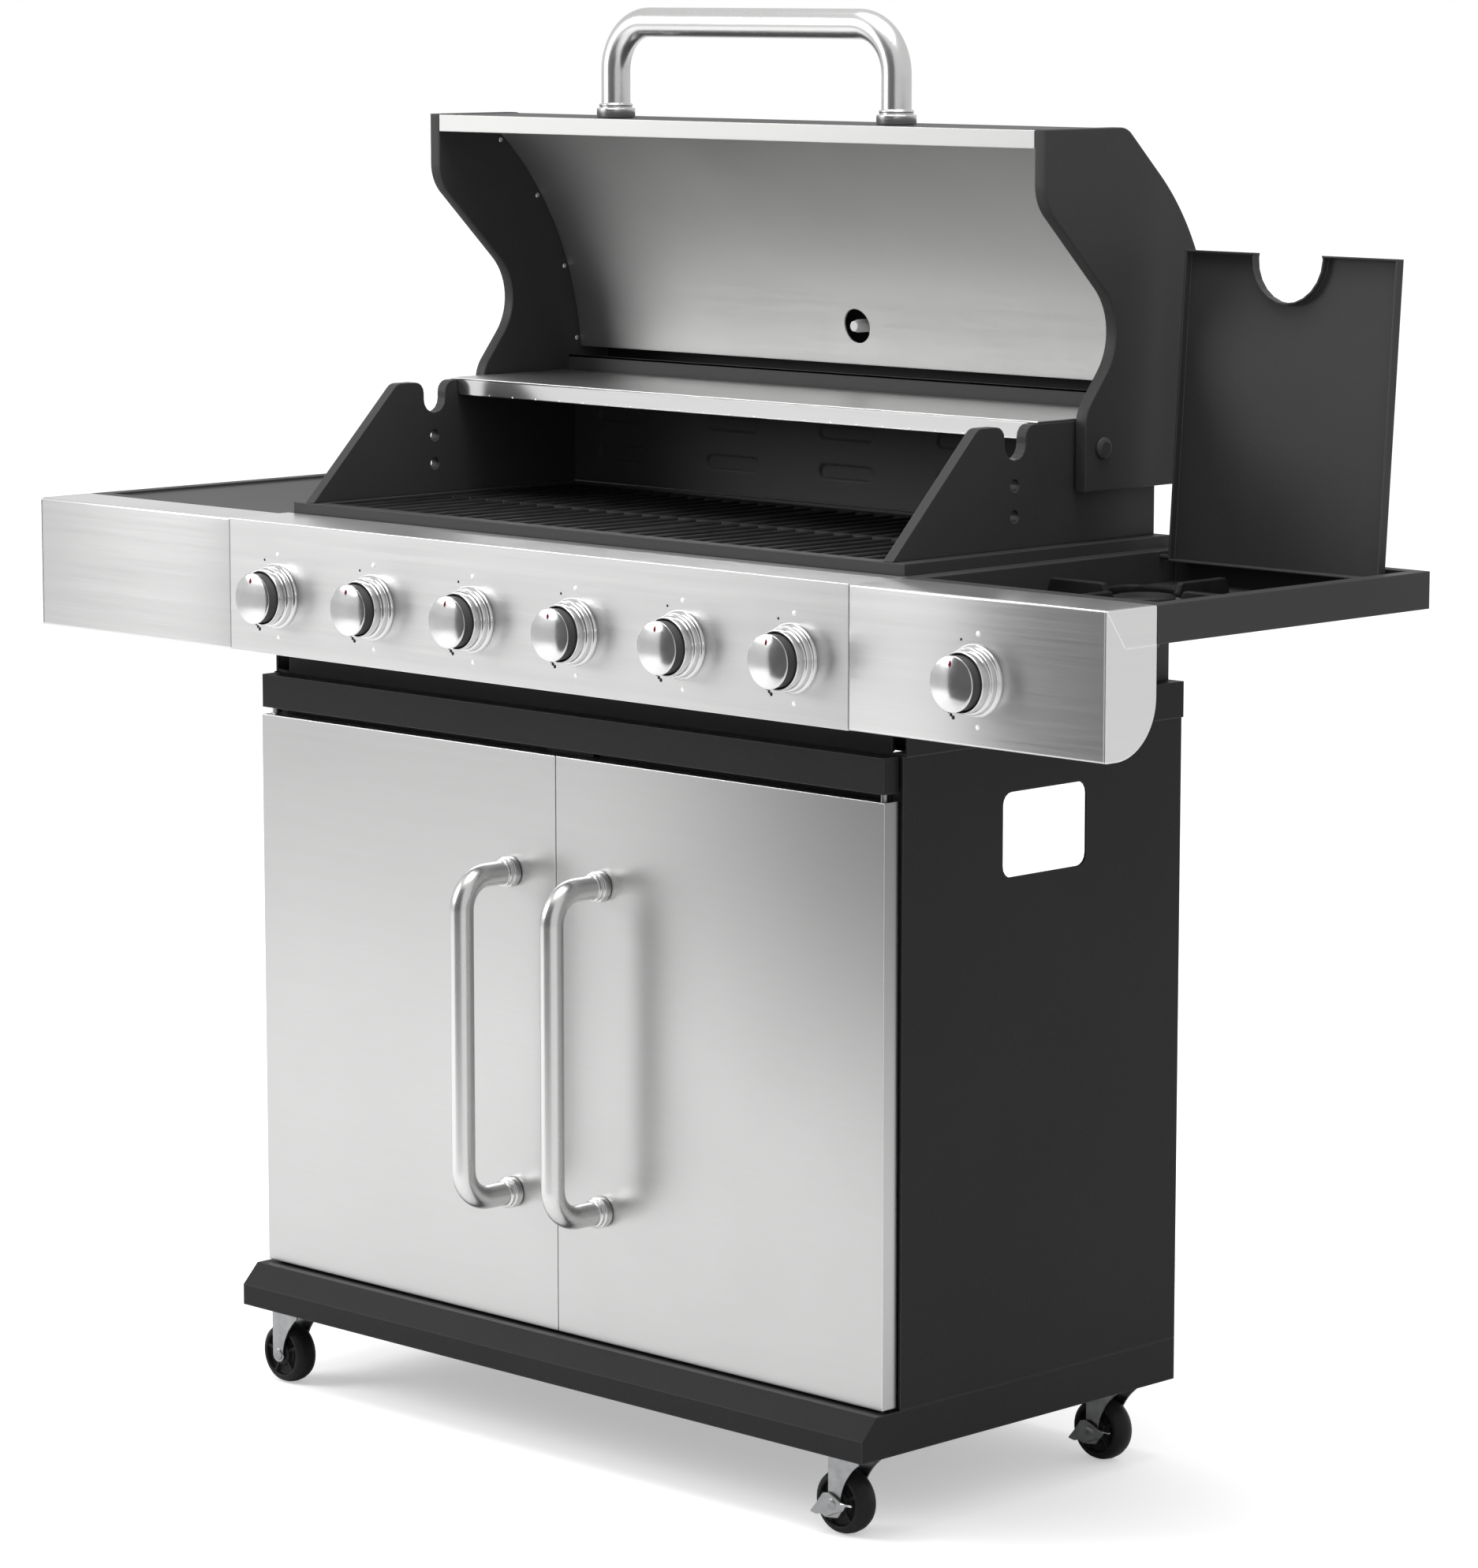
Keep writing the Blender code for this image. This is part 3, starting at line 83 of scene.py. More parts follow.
def mixColour(tree, share, first, second, blend="MIX"):
    made = addNode(tree, "ShaderNodeMix", data_type="RGBA", blend_type=blend)
    for slotIndex, value in ((0, share), (6, first), (7, second)):
        if isinstance(value, bpy.types.NodeSocket):
            tree.links.new(value, made.inputs[slotIndex])
        elif isinstance(value, (int, float)):
            made.inputs[slotIndex].default_value = value
        else:
            made.inputs[slotIndex].default_value = (*value, 1.0)
    return made.outputs[2]


def newGroup(name, inputs, outputs):
    group = bpy.data.node_groups.new(name, "ShaderNodeTree")
    for label, kind, value in inputs:
        socket = group.interface.new_socket(label, in_out="INPUT", socket_type="NodeSocket" + kind)
        if value is not None:
            socket.default_value = value
    for label, kind in outputs:
        group.interface.new_socket(label, in_out="OUTPUT", socket_type="NodeSocket" + kind)
    return group, group.nodes.new("NodeGroupInput"), group.nodes.new("NodeGroupOutput")


# shared surface effects

def makeBrushing():
    # two noises, each squeezed hard across the grain: fine hairlines plus wider, softer streaks
    group, given, out = newGroup(
        "brushedLines",
        [("Place", "Vector", None), ("Stretch", "Vector", (12.0, 1500.0, 1500.0)),
         ("Streaks", "Float", 0.4)],
        [("Tone", "Float"), ("Height", "Float")])
    squeezed = addNode(group, "ShaderNodeVectorMath", operation="MULTIPLY")
    group.links.new(given.outputs["Place"], squeezed.inputs[0])
    group.links.new(given.outputs["Stretch"], squeezed.inputs[1])
    hair = setInputs(addNode(group, "ShaderNodeTexNoise"), Scale=1.0, Detail=3.0, Roughness=0.65)
    streak = setInputs(addNode(group, "ShaderNodeTexNoise"), Scale=0.09, Detail=2.0, Roughness=0.6)
    group.links.new(squeezed.outputs[0], hair.inputs["Vector"])
    group.links.new(squeezed.outputs[0], streak.inputs["Vector"])
    wide = mathNode(group, "MULTIPLY", streak.outputs["Fac"], given.outputs["Streaks"])
    rest = mathNode(group, "SUBTRACT", 1.0, given.outputs["Streaks"])
    narrow = mathNode(group, "MULTIPLY", hair.outputs["Fac"], rest)
    group.links.new(mathNode(group, "ADD", wide, narrow), out.inputs["Tone"])
    group.links.new(hair.outputs["Fac"], out.inputs["Height"])
    return group


def makeEdgeLight():
    # how far a rounded normal leans from the flat one: 0 on a face, towards 1 along a fold; the mask paints a
    # highlight into the colour along edges, and the rounded normal feeds the bump
    group, given, out = newGroup(
        "foldedEdges", [("Radius", "Float", 0.0012), ("Gain", "Float", 3.0)],
        [("Mask", "Float"), ("Normal", "Vector")])
    rounded = addNode(group, "ShaderNodeBevel", samples=4)
    group.links.new(given.outputs["Radius"], rounded.inputs["Radius"])
    flat = addNode(group, "ShaderNodeNewGeometry")
    lean = addNode(group, "ShaderNodeVectorMath", operation="DOT_PRODUCT")
    group.links.new(rounded.outputs[0], lean.inputs[0])
    group.links.new(flat.outputs["Normal"], lean.inputs[1])
    away = mathNode(group, "SUBTRACT", 1.0, lean.outputs["Value"])
    gained = mathNode(group, "MULTIPLY", away, given.outputs["Gain"], clamp=True)
    group.links.new(gained, out.inputs["Mask"])
    group.links.new(rounded.outputs[0], out.inputs["Normal"])
    return group


def makeHandling():
    # slow, cloudy noise with a soft threshold: where hands, heat and weather have dulled a finish
    group, given, out = newGroup(
        "handling", [("Place", "Vector", None), ("Size", "Float", 6.0)],
        [("Cloud", "Float"), ("Specks", "Float")])
    cloud = setInputs(addNode(group, "ShaderNodeTexNoise"), Detail=4.0, Roughness=0.55)
    group.links.new(given.outputs["Place"], cloud.inputs["Vector"])
    group.links.new(given.outputs["Size"], cloud.inputs["Scale"])
    specks = setInputs(addNode(group, "ShaderNodeTexNoise"), Scale=420.0, Detail=2.0)
    group.links.new(given.outputs["Place"], specks.inputs["Vector"])
    sharp = addNode(group, "ShaderNodeMapRange", interpolation_type="SMOOTHSTEP")
    setInputs(sharp, From_Min=0.62, From_Max=0.74)
    group.links.new(specks.outputs["Fac"], sharp.inputs["Value"])
    group.links.new(cloud.outputs["Fac"], out.inputs["Cloud"])
    group.links.new(sharp.outputs[0], out.inputs["Specks"])
    return group


def makeOrangePeel():
    # rounded cells of two sizes, averaged: the skin of a sprayed powder coat or of a sand casting
    group, given, out = newGroup(
        "orangePeel", [("Place", "Vector", None), ("Fineness", "Float", 700.0)], [("Height", "Float")])
    parts = []
    for share in (1.0, 0.35):
        cells = setInputs(addNode(group, "ShaderNodeTexNoise"), Detail=1.0)
        group.links.new(given.outputs["Place"], cells.inputs["Vector"])
        scale = mathNode(group, "MULTIPLY", given.outputs["Fineness"], share)
        group.links.new(scale, cells.inputs["Scale"])
        parts.append(cells.outputs["Fac"])
    total = mathNode(group, "ADD", parts[0], parts[1])
    group.links.new(mathNode(group, "MULTIPLY", total, 0.5), out.inputs["Height"])
    return group


def makeCornerShade():
    # 1 at a corner falling smoothly to 0 at a distance: a painted shade darkening one end of a sheet
    group, given, out = newGroup(
        "cornerShade", [("Place", "Vector", None), ("Corner", "Vector", None), ("Reach", "Float", 0.5),
                        ("Depth", "Float", 0.5)], [("Mask", "Float")])
    away = addNode(group, "ShaderNodeVectorMath", operation="DISTANCE")
    group.links.new(given.outputs["Place"], away.inputs[0])
    group.links.new(given.outputs["Corner"], away.inputs[1])
    fall = addNode(group, "ShaderNodeMapRange", interpolation_type="SMOOTHSTEP")
    group.links.new(away.outputs["Value"], fall.inputs["Value"])
    group.links.new(given.outputs["Reach"], fall.inputs["From Max"])
    group.links.new(given.outputs["Depth"], fall.inputs["To Min"])
    setInputs(fall, From_Min=0.0, To_Max=0.0)
    group.links.new(fall.outputs[0], out.inputs["Mask"])
    return group


brushedLines = makeBrushing()
cornerShade = makeCornerShade()
foldedEdges = makeEdgeLight()
handling = makeHandling()
orangePeel = makeOrangePeel()


def placeGroup(tree, group, place=None, **values):
    made = addNode(tree, "ShaderNodeGroup", node_tree=group)
    if place is not None:
        tree.links.new(place, made.inputs["Place"])
    return setInputs(made, **values)


def bareMaterial(name):
    material = bpy.data.materials.new(name)
    material.use_nodes = True
    tree = material.node_tree
    coords = addNode(tree, "ShaderNodeTexCoord")
    return material, tree, tree.nodes["Principled BSDF"], coords.outputs["Object"]


def bumpInto(tree, shader, height, strength, depth, normal=None):
    bump = setInputs(addNode(tree, "ShaderNodeBump"), Strength=strength, Distance=depth)
    tree.links.new(height, bump.inputs["Height"])
    if normal is not None:
        tree.links.new(normal, bump.inputs["Normal"])
    tree.links.new(bump.outputs[0], shader.inputs["Normal"])


def rangeOf(tree, value, low, high):
    # a noise stays mostly between a quarter and three quarters, so that part is spread over low to high
    spread = setInputs(addNode(tree, "ShaderNodeMapRange"), From_Min=0.25, From_Max=0.75)
    setInputs(spread, To_Min=low, To_Max=high)
    tree.links.new(value, spread.inputs["Value"])
    return spread.outputs[0]


# finishes

def makeCoated(name, look):
    # powder coat: dark base to light base by the cloud, a painted highlight along folds, and a few dust specks in
    # the same pale colour
    material, tree, shader, place = bareMaterial(name)
    clouds = placeGroup(tree, handling, place, Size=look["cloudSize"])
    peel = placeGroup(tree, orangePeel, place, Fineness=look["fineness"])
    edges = placeGroup(tree, foldedEdges, Radius=look["edgeRadius"], Gain=look["edgeGain"])
    base = mixColour(tree, rangeOf(tree, clouds.outputs["Cloud"], 0.0, 1.0), look["dark"], look["light"])
    # painted highlight: the colour lightens towards the pale edge colour along folds and edges
    withPaintedHighlight = mixColour(tree, edges.outputs["Mask"], base, look["edge"])
    dust = mathNode(tree, "MULTIPLY", clouds.outputs["Specks"], look["dust"])
    dusty = mixColour(tree, dust, withPaintedHighlight, look["edge"])
    tree.links.new(dusty, shader.inputs["Base Color"])
    tree.links.new(rangeOf(tree, clouds.outputs["Cloud"], *look["roughness"]), shader.inputs["Roughness"])
    setInputs(shader, Metallic=0.0, Specular_IOR_Level=look["specular"])
    bumpInto(tree, shader, peel.outputs["Height"], look["bump"], 0.00015, edges.outputs["Normal"])
    return material


def makeBrushed(name, look):
    # brushed metal: colour and roughness both follow the hairlines, with a slow cloud over the whole sheet
    # and, where a look names one, a painted shade darkening the colour around one corner
    material, tree, shader, place = bareMaterial(name)
    lines = placeGroup(tree, brushedLines, place, Stretch=look["stretch"], Streaks=look["streaks"])
    clouds = placeGroup(tree, handling, place, Size=look["cloudSize"])
    edges = placeGroup(tree, foldedEdges, Radius=look["edgeRadius"], Gain=look["edgeGain"])
    tone = rangeOf(tree, lines.outputs["Tone"], 0.0, 1.0)
    grain = mixColour(tree, tone, look["dark"], look["light"])
    tintShare = rangeOf(tree, clouds.outputs["Cloud"], 0.0, look["tintShare"])
    tinted = mixColour(tree, tintShare, grain, look["tint"])
    if "corner" in look:
        # painted shade: the colour darkens towards the named corner
        shade = placeGroup(tree, cornerShade, place, Corner=look["corner"], Reach=look["reach"],
                           Depth=look["shade"])
        tinted = mixColour(tree, shade.outputs["Mask"], tinted, look["cornerTone"])
    # painted highlight: the colour lightens towards the pale edge colour along folds and edges
    withPaintedHighlight = mixColour(tree, edges.outputs["Mask"], tinted, look["edge"])
    tree.links.new(withPaintedHighlight, shader.inputs["Base Color"])
    rough = mathNode(tree, "ADD", rangeOf(tree, lines.outputs["Tone"], *look["roughness"]),
                     rangeOf(tree, clouds.outputs["Cloud"], 0.0, look["cloudRough"]))
    tree.links.new(rough, shader.inputs["Roughness"])
    setInputs(shader, Metallic=1.0)
    bumpInto(tree, shader, lines.outputs["Height"], look["bump"], 0.0001, edges.outputs["Normal"])
    return material


def makePlated(name, look):
    # plated or polished metal: nearly even colour, cloudy roughness, a faint ripple
    material, tree, shader, place = bareMaterial(name)
    clouds = placeGroup(tree, handling, place, Size=look["cloudSize"])
    peel = placeGroup(tree, orangePeel, place, Fineness=look["fineness"])
    base = mixColour(tree, rangeOf(tree, clouds.outputs["Cloud"], 0.0, 1.0), look["dark"], look["light"])
    tree.links.new(base, shader.inputs["Base Color"])
    tree.links.new(rangeOf(tree, clouds.outputs["Cloud"], *look["roughness"]), shader.inputs["Roughness"])
    setInputs(shader, Metallic=1.0)
    bumpInto(tree, shader, peel.outputs["Height"], look["bump"], 0.0001)
    return material


# edge: the colour of a painted highlight along folds and edges, also the colour of the dust specks
coatLook = {"dark": (0.0135, 0.0136, 0.0139), "light": (0.0175, 0.0177, 0.0180),
            "edge": (0.10, 0.101, 0.103), "cloudSize": 5.0, "fineness": 900.0, "edgeRadius": 0.0018,
            "edgeGain": 2.6, "dust": 0.10, "roughness": (0.42, 0.50), "specular": 0.13, "bump": 0.10}
blackCoat = makeCoated("satinBlackCoat", coatLook)

# hood, firebox and side shelves carry a greyer, duller coat than the cart
heatLook = dict(coatLook, dark=(0.038, 0.0382, 0.0386), light=(0.046, 0.0462, 0.0466),
                edge=(0.13, 0.13, 0.132), roughness=(0.45, 0.54))
heatCoat = makeCoated("heatproofBlackCoat", heatLook)

# a lighter copy of the hood coat for the firebox's back sheet: painted light where the firebox lies in shade
innerLitLook = dict(heatLook, dark=(0.060, 0.0602, 0.0606), light=(0.072, 0.0722, 0.0726))
innerLitCoat = makeCoated("innerBlackCoat", innerLitLook)

ironLook = dict(coatLook, dark=(0.010, 0.010, 0.0105), light=(0.020, 0.020, 0.021),
                edge=(0.06, 0.06, 0.062), cloudSize=30.0, fineness=1100.0, roughness=(0.38, 0.60),
                bump=0.35, dust=0.2)
castIron = makeCoated("enamelledIron", ironLook)

plasticLook = dict(coatLook, dark=(0.010, 0.010, 0.0105), light=(0.015, 0.015, 0.0155),
                   edge=(0.045, 0.045, 0.047), cloudSize=40.0, fineness=1600.0, roughness=(0.34, 0.44),
                   bump=0.15, dust=0.35)
wheelPlastic = makeCoated("wheelPlastic", plasticLook)

# edge: the colour of a painted highlight along folds and edges
steelLook = {"dark": (0.575, 0.575, 0.573), "light": (0.63, 0.63, 0.628), "edge": (0.97, 0.97, 0.97),
             "tint": (0.56, 0.56, 0.556), "tintShare": 0.5, "stretch": (10.0, 1400.0, 1400.0),
             "streaks": 0.35, "cloudSize": 3.5, "edgeRadius": 0.0012, "edgeGain": 4.0,
             "roughness": (0.25, 0.33), "cloudRough": 0.05, "bump": 0.05}
brushedSteel = makeBrushed("brushedSteel", steelLook)

# the doors take a darker copy of the steel: painted shade, deepening towards the upper right-hand corner of the
# pair
doorShadedLook = dict(steelLook, dark=(0.510, 0.510, 0.508), light=(0.560, 0.560, 0.558),
                tint=(0.50, 0.50, 0.497), corner=(0.43, -0.19, 0.68), reach=0.42, shade=0.85,
                cornerTone=(0.22, 0.22, 0.219))
doorShadedSteel = makeBrushed("doorBrushedSteel", doorShadedLook)

# a lighter copy of the same steel for the control panel: painted light
fasciaLitSteelLook = dict(steelLook, dark=(0.690, 0.690, 0.687), light=(0.750, 0.750, 0.747),
                       tint=(0.68, 0.68, 0.677))
fasciaLitSteel = makeBrushed("fasciaBrushedSteel", fasciaLitSteelLook)

# end caps: the same steel with its grain turned across, in a still lighter copy: painted light
endCapLitLook = dict(steelLook, dark=(0.76, 0.76, 0.757), light=(0.81, 0.81, 0.807), tint=(0.76, 0.76, 0.757),
               stretch=(1400.0, 12.0, 1400.0))
endCapLitSteel = makeBrushed("endBrushedSteel", endCapLitLook)

linerLook = dict(steelLook, dark=(0.44, 0.44, 0.439), light=(0.475, 0.475, 0.472),
                 tint=(0.54, 0.538, 0.527), tintShare=0.8, cloudSize=4.0, edgeGain=1.5,
                 roughness=(0.52, 0.57), cloudRough=0.06, bump=0.03)
linerSteel = makeBrushed("linerSteel", linerLook)

lipLook = dict(steelLook, dark=(0.90, 0.90, 0.898), light=(0.95, 0.95, 0.948), tint=(0.92, 0.92, 0.918),
               roughness=(0.12, 0.17), cloudRough=0.02)
lipSteel = makeBrushed("lipSteel", lipLook)

tubeLook = dict(steelLook, dark=(0.64, 0.64, 0.637), light=(0.71, 0.71, 0.707),
                stretch=(700.0, 700.0, 700.0), streaks=0.2, roughness=(0.22, 0.27), cloudRough=0.03,
                bump=0.02, edgeGain=0.5)
satinTube = makeBrushed("satinTube", tubeLook)

chromeLook = {"dark": (0.62, 0.62, 0.625), "light": (0.70, 0.70, 0.705), "cloudSize": 60.0,
              "fineness": 500.0, "roughness": (0.10, 0.17), "bump": 0.02}
chrome = makePlated("polishedChrome", chromeLook)

zincLook = dict(chromeLook, dark=(0.27, 0.275, 0.28), light=(0.40, 0.405, 0.41), cloudSize=90.0,
                fineness=1200.0, roughness=(0.30, 0.42), bump=0.12)
zincPlate = makePlated("zincPlate", zincLook)

skirtLook = dict(coatLook, dark=(0.050, 0.050, 0.050), light=(0.065, 0.065, 0.065), edge=(0.12, 0.12, 0.12),
                 roughness=(0.42, 0.50), dust=0.05)
knobSkirt = makeCoated("knobSkirtGrey", skirtLook)

flagLook = dict(coatLook, dark=(0.11, 0.11, 0.11), light=(0.13, 0.13, 0.13), edge=(0.13, 0.13, 0.13),
                dust=0.0)
flagCloth = makeCoated("flagCloth", flagLook)

redLook = dict(coatLook, dark=(0.13, 0.004, 0.010), light=(0.18, 0.006, 0.014), edge=(0.2, 0.02, 0.03),
               dust=0.0, specular=0.05)
pointerRed = makeCoated("pointerRed", redLook)

darkInkLook = dict(coatLook, dark=(0.02, 0.02, 0.02), light=(0.03, 0.03, 0.03), edge=(0.03, 0.03, 0.03),
                   dust=0.0)
markDark = makeCoated("scaleInkDark", darkInkLook)

paleInkLook = dict(coatLook, dark=(0.80, 0.80, 0.80), light=(0.88, 0.88, 0.88), edge=(0.9, 0.9, 0.9),
                   dust=0.0)
markPale = makeCoated("scaleInkPale", paleInkLook)

# the dots over and under each knob are white, with a faint painted glow that makes them brighter than the light
# alone does
dotPaintedGlow = {"tone": (1.0, 1.0, 1.0, 1.0), "strength": 0.4}
markWhite = makeCoated("scaleDotWhite", paleInkLook)
setInputs(markWhite.node_tree.nodes["Principled BSDF"], Emission_Color=dotPaintedGlow["tone"],
          Emission_Strength=dotPaintedGlow["strength"])

finishOfSlot = {"black_steel": blackCoat, "stainless": brushedSteel, "satin_tube": satinTube,
                "chrome": chrome, "zinc": zincPlate, "cast_iron": castIron, "wheel_plastic": wheelPlastic}
heatCoated = ("firebox", "firebox_wall_left", "firebox_wall_right", "side_shelf_left", "side_shelf_right",
              "side_burner_lid")

for nodeName, nodeObject in frame["nodes"].items():
    for index, old in enumerate(nodeObject.data.materials):
        nodeObject.material_slots[index].material = finishOfSlot[old.name.split(".")[0]]
for nodeName in ("door_left", "door_right"):
    frame["nodes"][nodeName].material_slots[0].material = doorShadedSteel
frame["nodes"]["control_panel"].material_slots[0].material = fasciaLitSteel
for nodeName in heatCoated:
    frame["nodes"][nodeName].material_slots[0].material = heatCoat
print("finishes made:", len(bpy.data.materials))


# surfaces

def softOutline(corners, radii, steps=8):
    # a closed line whose corners are arcs of the given radii, met by straight runs
    points = []
    for index, (corner, radius) in enumerate(zip(corners, radii)):
        here = np.array(corner, float)
        if radius <= 0.0:
            points.append(here)
            continue
        before = np.array(corners[index - 1], float) - here
        after = np.array(corners[(index + 1) % len(corners)], float) - here
        before /= np.linalg.norm(before)
        after /= np.linalg.norm(after)
        half = math.acos(np.clip(before @ after, -1.0, 1.0)) / 2.0
        centre = here + (before + after) / np.linalg.norm(before + after) * radius / math.sin(half)
        start = here + before * radius / math.tan(half) - centre
        end = here + after * radius / math.tan(half) - centre
        sweep = math.pi - 2.0 * half
        share = np.linspace(0.0, 1.0, steps + 1)[:, None]
        turned = np.sin((1 - share) * sweep) * start + np.sin(share * sweep) * end
        points.extend(centre + turned / math.sin(sweep))
    return np.array(points)


def arcThrough(start, middle, end, count):
    # points on the circle through three points: centre + radius * (cos, sin) between the end angles
    (ax, ay), (bx, by), (cx, cy) = start, middle, end
    d = 2.0 * (ax * (by - cy) + bx * (cy - ay) + cx * (ay - by))
    ux = ((ax**2 + ay**2) * (by - cy) + (bx**2 + by**2) * (cy - ay) + (cx**2 + cy**2) * (ay - by)) / d
    uy = ((ax**2 + ay**2) * (cx - bx) + (bx**2 + by**2) * (ax - cx) + (cx**2 + cy**2) * (bx - ax)) / d
    angle = np.linspace(math.atan2(ay - uy, ax - ux), math.atan2(cy - uy, cx - ux), count)
    circle = np.stack([np.cos(angle), np.sin(angle)], axis=1)
    return np.array([ux, uy]) + math.hypot(ax - ux, ay - uy) * circle


def leftNormals(line, closed):
    # mitred normals to the left of a line, long enough to keep an offset's width even at corners
    ahead = np.roll(line, -1, axis=0) - line if closed else np.diff(line, axis=0)
    ahead = ahead / np.linalg.norm(ahead, axis=1)[:, None]
    normal = np.stack([-ahead[:, 1], ahead[:, 0]], axis=1)
    if closed:
        first, second = normal, np.roll(normal, 1, axis=0)
    else:
        first, second = np.vstack([normal[:1], normal]), np.vstack([normal, normal[-1:]])
    corner = first + second
    return corner / (corner * first).sum(axis=1)[:, None]


def sheetOutline(line, thickness):
    # an open line and the same line moved to its left by the sheet's thickness
    line = np.asarray(line, float)
    return np.vstack([line, (line + leftNormals(line, False) * thickness)[::-1]])


def plateRings(outline, low, high, axis, edge=0.0005, steps=3):
    # an outline carried up an edge profile: inset = edge (1 - sin t), then edge (1 - cos t), for t from
    # 0 to 90 degrees; one more ring at each end, a little further in, keeps the flat ends shading flat
    outline = np.asarray(outline, float)
    after = np.roll(outline, -1, axis=0)
    if (outline[:, 0] * after[:, 1] - outline[:, 1] * after[:, 0]).sum() < 0.0:
        outline = outline[::-1]
    turn = np.linspace(0.0, math.pi / 2.0, steps)
    insets = edge * np.concatenate([[1.2], 1.0 - np.sin(turn), 1.0 - np.cos(turn), [1.2]])
    heights = np.concatenate([[low], low + edge * (1.0 - np.cos(turn)),
                              high - edge * (1.0 - np.sin(turn)), [high]])
    flat = outline[None] + leftNormals(outline, True)[None] * insets[:, None, None]
    lift = np.broadcast_to(heights[:, None, None], flat.shape[:2] + (1,))
    order = {"X": (2, 0, 1), "Y": (0, 2, 1), "Z": (0, 1, 2)}[axis]
    return np.concatenate([flat, lift], axis=-1)[..., order]


def boxRings(low, high, edge=0.0008, axis="Z"):
    # a block with rounded edges, carried along one axis
    along = "XYZ".index(axis)
    u, v = [i for i in range(3) if i != along]
    corners = [(low[u], low[v]), (high[u], low[v]), (high[u], high[v]), (low[u], high[v])]
    return plateRings(softOutline(corners, [edge * 1.3] * 4, 3), low[along], high[along], axis, edge)


def turnedRings(profile, centre, axis, sides=40, waves=0, depth=0.0):
    # a (radius, height) profile carried round an axis; radius may ripple as depth * cos(waves * angle)
    angle = np.linspace(0.0, 2.0 * math.pi, sides, endpoint=False)
    radius, height = np.asarray(profile, float).T
    radius = radius[:, None] * (1.0 + depth * np.cos(waves * angle)[None])
    along = "XYZ".index(axis)
    u, v = [i for i in range(3) if i != along]
    rings = np.zeros(radius.shape + (3,))
    rings[..., u] = radius * np.cos(angle)
    rings[..., v] = radius * np.sin(angle)
    rings[..., along] = height[:, None]
    return rings + np.array(centre, float)


def tubeRings(path, radius, across, sides=28):
    # a circle carried along a flat path; across is the direction square to the path's plane
    path = np.asarray(path, float)
    ahead = np.gradient(path, axis=0)
    ahead /= np.linalg.norm(ahead, axis=1)[:, None]
    side = np.cross(ahead, across)
    angle = np.linspace(0.0, 2.0 * math.pi, sides, endpoint=False)[None, :, None]
    radius = np.broadcast_to(radius, len(path))[:, None, None]
    circle = np.cos(angle) * side[:, None] + np.sin(angle) * np.array(across, float)
    return path[:, None] + radius * circle


def sheetRings(grid, offset):
    # a grid of points and the same grid moved by an offset, joined round their edges
    return np.concatenate([grid, (grid + np.array(offset, float))[:, ::-1]], axis=1)


def makePiece(name, shells, finishes, body, stands=(), crease=32.0):
    # shells: (rings, index of finish, whether the last ring meets the first); other ends are closed flat
    points, faces, finishOfFace, start = [], [], [], 0
    for rings, finishIndex, looped in shells:
        rows, columns = rings.shape[:2]
        spans = rows if looped else rows - 1
        row, column = np.meshgrid(np.arange(spans), np.arange(columns), indexing="ij")
        nextRow, nextColumn = (row + 1) % rows, (column + 1) % columns
        quads = np.stack([row * columns + column, row * columns + nextColumn,
                          nextRow * columns + nextColumn, nextRow * columns + column], axis=-1)
        shellFaces = (quads.reshape(-1, 4) + start).tolist()
        if not looped:
            shellFaces.append(list(range(start + columns - 1, start - 1, -1)))
            shellFaces.append(list(range(start + (rows - 1) * columns, start + rows * columns)))
        points.append(rings.reshape(-1, 3))
        faces += shellFaces
        finishOfFace += [finishIndex] * len(shellFaces)
        start += rows * columns
    mesh = bpy.data.meshes.new(name)
    mesh.from_pydata(np.concatenate(points).tolist(), [], faces)
    for finish in finishes:
        mesh.materials.append(finish)
    mesh.polygons.foreach_set("material_index", finishOfFace)
    outward = bmesh.new()
    outward.from_mesh(mesh)
    bmesh.ops.recalc_face_normals(outward, faces=outward.faces)
    outward.to_mesh(mesh)
    outward.free()
    mesh.shade_smooth()
    mesh.set_sharp_from_angle(angle=math.radians(crease))
    piece = bpy.data.objects.new(name, mesh)
    bpy.context.scene.collection.objects.link(piece)
    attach(piece, body)
    if stands:
        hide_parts(*stands)
    return piece


def solid(rings, finishIndex=0):
    return rings, finishIndex, False


def hoop(rings, finishIndex=0):
    return rings, finishIndex, True


bodies = frame["record"]["behaviour"]["bodies"]
bodyOfNode = {node: body for body, nodes in bodies.items() for node in nodes}


# knobs and their bezels

knobLook = {"dome": 0.0030, "rim": 0.0013, "skirtInset": 0.0006, "panelGap": 0.0015, "shaft": 0.0035,
            "pointerAt": 0.0175, "pointerLong": 0.0066, "pointerWide": 0.0044, "pointerTaper": 0.55,
            "sides": 56}
bezelLook = {"base": 0.0310, "mouth": 0.0246, "reach": 0.0198, "sides": 64}
# each mark: degrees clockwise from the top, distance out, radius
marksLook = {"pale": ((4.0, 0.0400, 0.0025), (176.0, 0.0390, 0.0024)), "dark": ((-26.0, 0.0375, 0.0012),),
             "scaleFrom": 217.0, "scaleStep": 4.6, "scaleOut": 0.0415, "scaleDot": 0.0018,
             "scaleShrink": 0.00020, "scaleCount": 6}
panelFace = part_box("control_panel")[0].y


